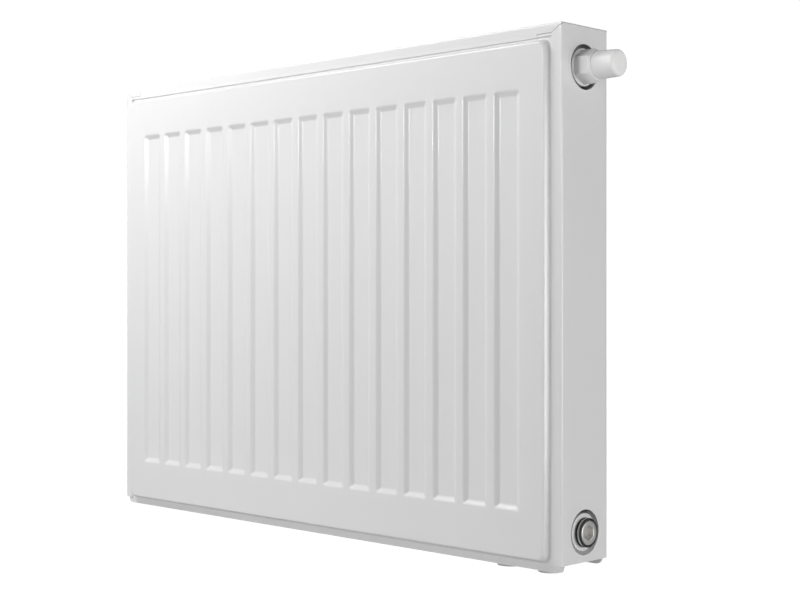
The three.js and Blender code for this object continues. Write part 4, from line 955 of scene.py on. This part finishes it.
insert_o_ring = rubber_ring(-6.7, -5.3, 10.3, 9.25, 1, HUB_HIGH)
make("insert_o_ring", insert_o_ring, black_rubber, "radiator")
gland_o_ring = rubber_ring(6.8, 8.2, 3.6, 1.7, 1, HUB_HIGH, 48)
make("gland_o_ring", gland_o_ring, black_rubber, "radiator")


# ------------------------------------------------------------------ spindle, disc and spring
# A steel pin that the cap pushes in. Its rubber disc closes on the seat and a coil spring opens it.
spindle_profile = np.array([(-36, 0), (-36, 1.5), (-33.4, 1.5), (-33.4, 5.5), (-31.9, 5.5), (-31.9, 1.5),
                            (-4, 1.5), (-4, 5.5), (-2.5, 5.5), (-2.5, 1.5), (17.3, 1.5), (17.3, 0)]) * MM
spindle = turned(bent(spindle_profile, 0.3 * MM, 3), 1, HUB_HIGH, 48, closed=False)
make("spindle", spindle, bright_steel, "spindle")
valve_disc = rubber_ring(-36.7, -33.7, 6, 1.8, 1, HUB_HIGH, 64)
make("valve_disc", valve_disc, black_rubber, "spindle")


def coil(start, finish, radius, wire, turns, sides=12):
    """A spring: a circle carried along a helix. The wire's section lies across the helix's tangent,
    and each end is closed by rings that shrink to a point."""
    t = np.linspace(0.0, 1.0, turns * 36 + 1)
    angle = 2 * math.pi * turns * t
    line = np.stack([start + (finish - start) * t, MIDDLE + radius * np.cos(angle),
                     HUB_HIGH + radius * np.sin(angle)], 1)
    tangent = np.gradient(line, axis=0)
    tangent /= np.linalg.norm(tangent, axis=1, keepdims=True)
    outward = np.stack([np.zeros_like(t), np.cos(angle), np.sin(angle)], 1)
    third = np.cross(tangent, outward)
    around = np.linspace(0.0, 2 * math.pi, sides, endpoint=False)
    size = np.full(len(t), wire / 2)
    size[[0, -1]] = 0.0
    line[0], line[-1] = line[1], line[-2]
    ring_points = (line[:, None] + size[:, None, None] * (np.cos(around)[None, :, None] * outward[:, None]
                                                          + np.sin(around)[None, :, None] * third[:, None]))
    return outwards((ring_points.reshape(-1, 3), quads(len(t), sides, False, True)))


spring_low, spring_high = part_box("return_spring")
return_spring = coil(spring_low[0] + 0.5 * MM, spring_high[0] - 0.5 * MM, 4 * MM, 0.95 * MM, 5)
make("return_spring", return_spring, spring_steel, "radiator")


# ------------------------------------------------------------------ presetting ring and cap
# Both moulded in white plastic. The ring has twelve shallow notches for its key. The cap has a
# hexagonal collar over the neck, chamfered into a slim round knob that tapers a little.
notch_angle = np.linspace(0.0, 2 * math.pi, 192, endpoint=False)


def presetting_ring():
    """A ring whose outer radius dips twelve times round, once deeper where the key goes."""
    section = np.array([(14.3, 5.35), (14.3, 9.5), (17, 9.5), (17, 5.35)]) * MM
    profile = softened(section, 0.3 * MM, 3)
    dip = 0.25 * MM * smooth(np.clip(np.cos(12 * notch_angle) * 2 - 0.6, 0, 1))
    dip += 0.5 * MM * smooth(np.clip((np.cos(notch_angle - math.pi / 2) - 0.985) / 0.015, 0, 1))
    radius = np.repeat(profile[:, 1:], 192, 1)
    radius = np.where(radius > 8 * MM, radius - dip, radius)
    along = np.repeat(profile[:, :1], 192, 1)
    points = about_x(along, radius, notch_angle, 1, HUB_HIGH)
    return outwards((points.reshape(-1, 3), quads(len(profile), 192, True, True)))


make("presetting_ring", presetting_ring(), white_plastic, "presetting", crease=40.0)

COLLAR_FLAT = 16 * MM * math.sqrt(3) / 2


def cap_shape():
    """The cap's inside and outside as one surface, a profile spun from the inside of its end round its
    mouth to the outside of its end. A section's radius is the smaller of the profile's radius and a
    hexagon's, met by a soft minimum, so the collar's corners are round and its chamfer cuts them."""
    corners = [(37.8, 0), (37.8, 10.0), (15.3, 10.0), (14.3, 11.3), (0.3, 11.3), (0.3, 13.3), (-1.0, 13.3),
               (-1.0, 15.5), (-0.4, 16.0),
               (11.0, 16.0), (16.0, 13.75), (16.3, 12.8), (16.9, 12.8), (17.1, 13.2), (26, 12.85), (40, 12.3),
               (40, 0)]
    radii = [1.0, 0.3, 0.3, 0.2, 0.1, 0.1, 0.3, 0.3, 0.8, 0.2, 0.1, 0.1, 0.15, 3.0, 3.4]
    profile = bent(np.array(corners) * MM, np.array(radii) * MM, 6)
    angle = np.linspace(0.0, 2 * math.pi, 180, endpoint=False)
    sector = (angle + math.pi / 2) % (math.pi / 3) - math.pi / 6
    flat = COLLAR_FLAT / np.cos(sector)[None, :]
    round_radius = np.repeat(profile[:, 1:], 180, 1)
    softness = 0.25 * MM
    gap = round_radius - flat
    radius = np.where(np.abs(gap) < softness, round_radius - (gap + softness) ** 2 / (4 * softness),
                      np.minimum(round_radius, flat))
    along = np.repeat(profile[:, :1], 180, 1)
    points = about_x(along, radius, angle, 1, HUB_HIGH)
    boss_profile = bent(np.array([(17.6, 0), (17.6, 3), (38.5, 3.4), (38.5, 0)]) * MM, 0.4 * MM, 3)
    boss = turned(boss_profile, 1, HUB_HIGH, 48, closed=False)
    return joined(outwards((points.reshape(-1, 3), quads(len(along), 180, False, True))), boss)


make("protective_cap", cap_shape(), white_plastic, "cap", crease=28.0)


# ------------------------------------------------------------------ blind plugs
# Nickel-plated brass plugs close the lower hubs: an outside thread, a head ring that squeezes the black
# seal, and a raised face with a hexagon socket inside a soft black guard ring.
nickel = finish_of(
    "nickel_plate", (0.86, 0.85, 0.83, 1.0), (0.81, 0.80, 0.78, 1.0), 0.34, 0.06, 1.0, 800.0, 0.00003,
    (0.82, 0.81, 0.78, 1.0), (0.52, 0.51, 0.48, 1.0))
SOCKET_FLAT, SOCKET_FLOOR = 6 * MM, -1 * MM


def blind_plug(end):
    """The plug spun from its profile, with the rows of the socket's wall on a hexagon's radius
    instead of a circle's: flat distance over the cosine of the angle from the flat's middle."""
    sides = 144
    angle = np.linspace(0.0, 2 * math.pi, sides, endpoint=False)
    hexagon = SOCKET_FLAT / np.cos((angle + math.pi / 6) % (math.pi / 3) - math.pi / 6)
    before = [(-14.5 * MM, 0.0), (-14.5 * MM, 9.0 * MM), (-14.0 * MM, 9.6 * MM)]
    corners = [(0.6, 9.6), (1.1, 9.6), (1.1, 13), (2.9, 13), (2.9, 11.25), (5.0, 11.25), (5.0, 7.6)]
    head = bent(np.array(corners) * MM, np.array([0.1, 0.25, 0.25, 0.1, 0.5]) * MM, 4)
    run = np.linspace(-13.8 * MM, 0.4 * MM, 80)
    fade_out = np.clip(np.minimum(run - run[0], run[-1] - run) / THREAD_PITCH, 0.0, 1.0)[:, None]
    thread = 9.6 * MM + 0.75 * MM * tooth_shape(run, angle) * fade_out
    wall = [(5.0 * MM, 1.06), (4.9 * MM, 1.02), (4.6 * MM, 1.0), (SOCKET_FLOOR + 0.3 * MM, 1.0),
            (SOCKET_FLOOR, 0.95)]
    spun = lambda rows: np.array(rows)[:, 1:] * np.ones(sides)
    radius = np.concatenate([spun(before), thread, spun(head), np.array(wall)[:, 1:] * hexagon,
                             np.zeros((1, sides))])
    along = np.concatenate([[r[0] for r in before], run, head[:, 0], [r[0] for r in wall], [SOCKET_FLOOR]])
    along = along[:, None] * np.ones(sides)
    points = about_x(along, radius, angle, end, HUB_LOW)
    return outwards((points.reshape(-1, 3), quads(len(along), sides, False, True)))


for plug_side, plug_end in (("right", 1), ("left", -1)):
    make("blind_plug_" + plug_side, blind_plug(plug_end), nickel, "radiator", crease=40.0)
    plug_seal = rubber_ring(-1.2, 0.8, 13.5, 10.8, plug_end, HUB_LOW)
    make("plug_seal_" + plug_side, plug_seal, black_rubber, "radiator")
    guard_ring = rubber_ring(3.2, 4.7, 13.5, 11.55, plug_end, HUB_LOW)
    make("plug_guard_ring_" + plug_side, guard_ring, black_rubber, "radiator")


# ------------------------------------------------------------------ air vent
# A nickel-plated plug in the upper left hub with a bleed screw through it. A plastic nozzle ring turns
# on its neck and points the air and water away.
vent_before = np.array([(-14.5, 1.5), (-14.5, 9.0), (-14.0, 9.6)]) * MM
vent_corners = [(0.6, 9.6), (1.1, 9.6), (1.1, 13), (2.9, 13), (2.9, 6), (12, 6), (12, 3.3), (-5, 3.3),
                (-5, 1.5)]
vent_after = bent(np.array(vent_corners) * MM, np.array([0.1, 0.25, 0.25, 0.2, 0.5, 0.3, 0.1]) * MM, 4)
vent_plug = threaded(vent_before, -13.8 * MM, 0.4 * MM, 9.6 * MM, 10.35 * MM, -1, HUB_HIGH, vent_after, 96)
make("air_vent_plug", vent_plug, nickel, "radiator")
vent_seal = rubber_ring(-1.2, 0.8, 13.5, 10.8, -1, HUB_HIGH)
make("air_vent_seal", vent_seal, black_rubber, "radiator")


def bleed_screw():
    """A spun shank whose outer end goes square: there the radius is a square's, with a driver slot
    pressed into its face where the point is near the middle line."""
    sides = 96
    angle = np.linspace(0.0, 2 * math.pi, sides, endpoint=False)
    square = 2.0 * MM / np.maximum(np.abs(np.cos(angle)), np.abs(np.sin(angle)))
    square = np.minimum(square, 2.55 * MM)
    shank = bent(np.array([(-4.5, 0), (-3.2, 2.9), (10, 2.9), (10, 2.6)]) * MM, 0.2 * MM, 3)
    rows = [shank[:, 1:] * np.ones(sides)]
    places = [shank[:, 0]]
    for along, share in ((10.0, 1.0), (10.2, 1.0), (13.6, 1.0), (13.95, 0.9), (14.0, 0.8), (14.0, 0.6),
                         (14.0, 0.4), (14.0, 0.2), (14.0, 0.0)):
        rows.append(square[None] * share)
        places.append([along * MM])
    radius = np.concatenate(rows)
    along = np.concatenate(places)[:, None] * np.ones(sides)
    slot_y = np.abs(radius * np.cos(angle))
    along = np.where((along > 13.9 * MM) & (slot_y < 0.5 * MM), 13.0 * MM, along)
    points = about_x(along, radius, angle, -1, HUB_HIGH)
    return outwards((points.reshape(-1, 3), quads(len(along), sides, False, True)))


make("bleed_screw", bleed_screw(), bright_steel, "bleed_screw", crease=40.0)


def vent_nozzle():
    """A ring with a soft rounded section, and a spout: a tapering block with round corners below it,
    its section a superellipse that narrows as it goes down."""
    section = np.array([(3.2, 6.3), (3.2, 10), (10.5, 10), (10.5, 6.3)]) * MM
    body = turned(softened(section, 0.7 * MM, 5), -1, HUB_HIGH)
    drop = np.array([8.0, 8.6, 10.5, 12.5, 14.4, 14.9, 15.0, 15.0])
    half_y = np.array([3.0, 3.0, 2.7, 2.35, 2.05, 1.9, 1.6, 0.0])
    half_x = np.array([2.0, 2.0, 2.0, 2.0, 2.0, 1.85, 1.5, 0.0])
    drop, half_y, half_x = (np.concatenate([[v[0]], v]) for v in (drop, half_y, half_x))
    half_y[0] = half_x[0] = 0.0
    angle = np.linspace(0.0, 2 * math.pi, 40, endpoint=False)
    bend = lambda wave: np.sign(wave) * np.abs(wave) ** 0.5
    y = MIDDLE + half_y[:, None] * bend(np.cos(angle)) * MM
    x = -END - 7 * MM + half_x[:, None] * bend(np.sin(angle)) * MM
    z = HUB_HIGH - drop[:, None] * MM + np.zeros_like(x)
    spout = outwards((np.stack([x, y, z], -1).reshape(-1, 3), quads(len(drop), 40, False, True)))
    return joined(body, spout)


make("vent_nozzle", vent_nozzle(), white_plastic, "vent_nozzle")


# ------------------------------------------------------------------ hanging lugs
# Four folded steel straps welded to the back: each foot lies on the rear panel, and its tongue, one
# strap's depth away, drops over a hook of the wall bracket.
LUG_SHEET, LUG_HALF = 1.5 * MM, 0.015
LUG_X, LUG_HIGH, LUG_LOW = END - 0.095, HEIGHT - 0.020, 0.048
for lug_name, lug_x, lug_top in (("lug_upper_left", -LUG_X, LUG_HIGH), ("lug_upper_right", LUG_X, LUG_HIGH),
                                 ("lug_lower_left", -LUG_X, LUG_LOW), ("lug_lower_right", LUG_X, LUG_LOW)):
    lug_path = bent([(REAR_FACE + GAP, lug_top - 0.014), (REAR_FACE + GAP, lug_top), (0.0, lug_top),
                     (0.0, lug_top - 0.030)], 2.2 * MM, 6)
    lug = strip(lug_path, "x", lug_x - LUG_HALF, lug_x + LUG_HALF, LUG_SHEET, side=-1.0)
    make(lug_name, lug, powder_coat, "radiator", bevel=0.3 * MM)
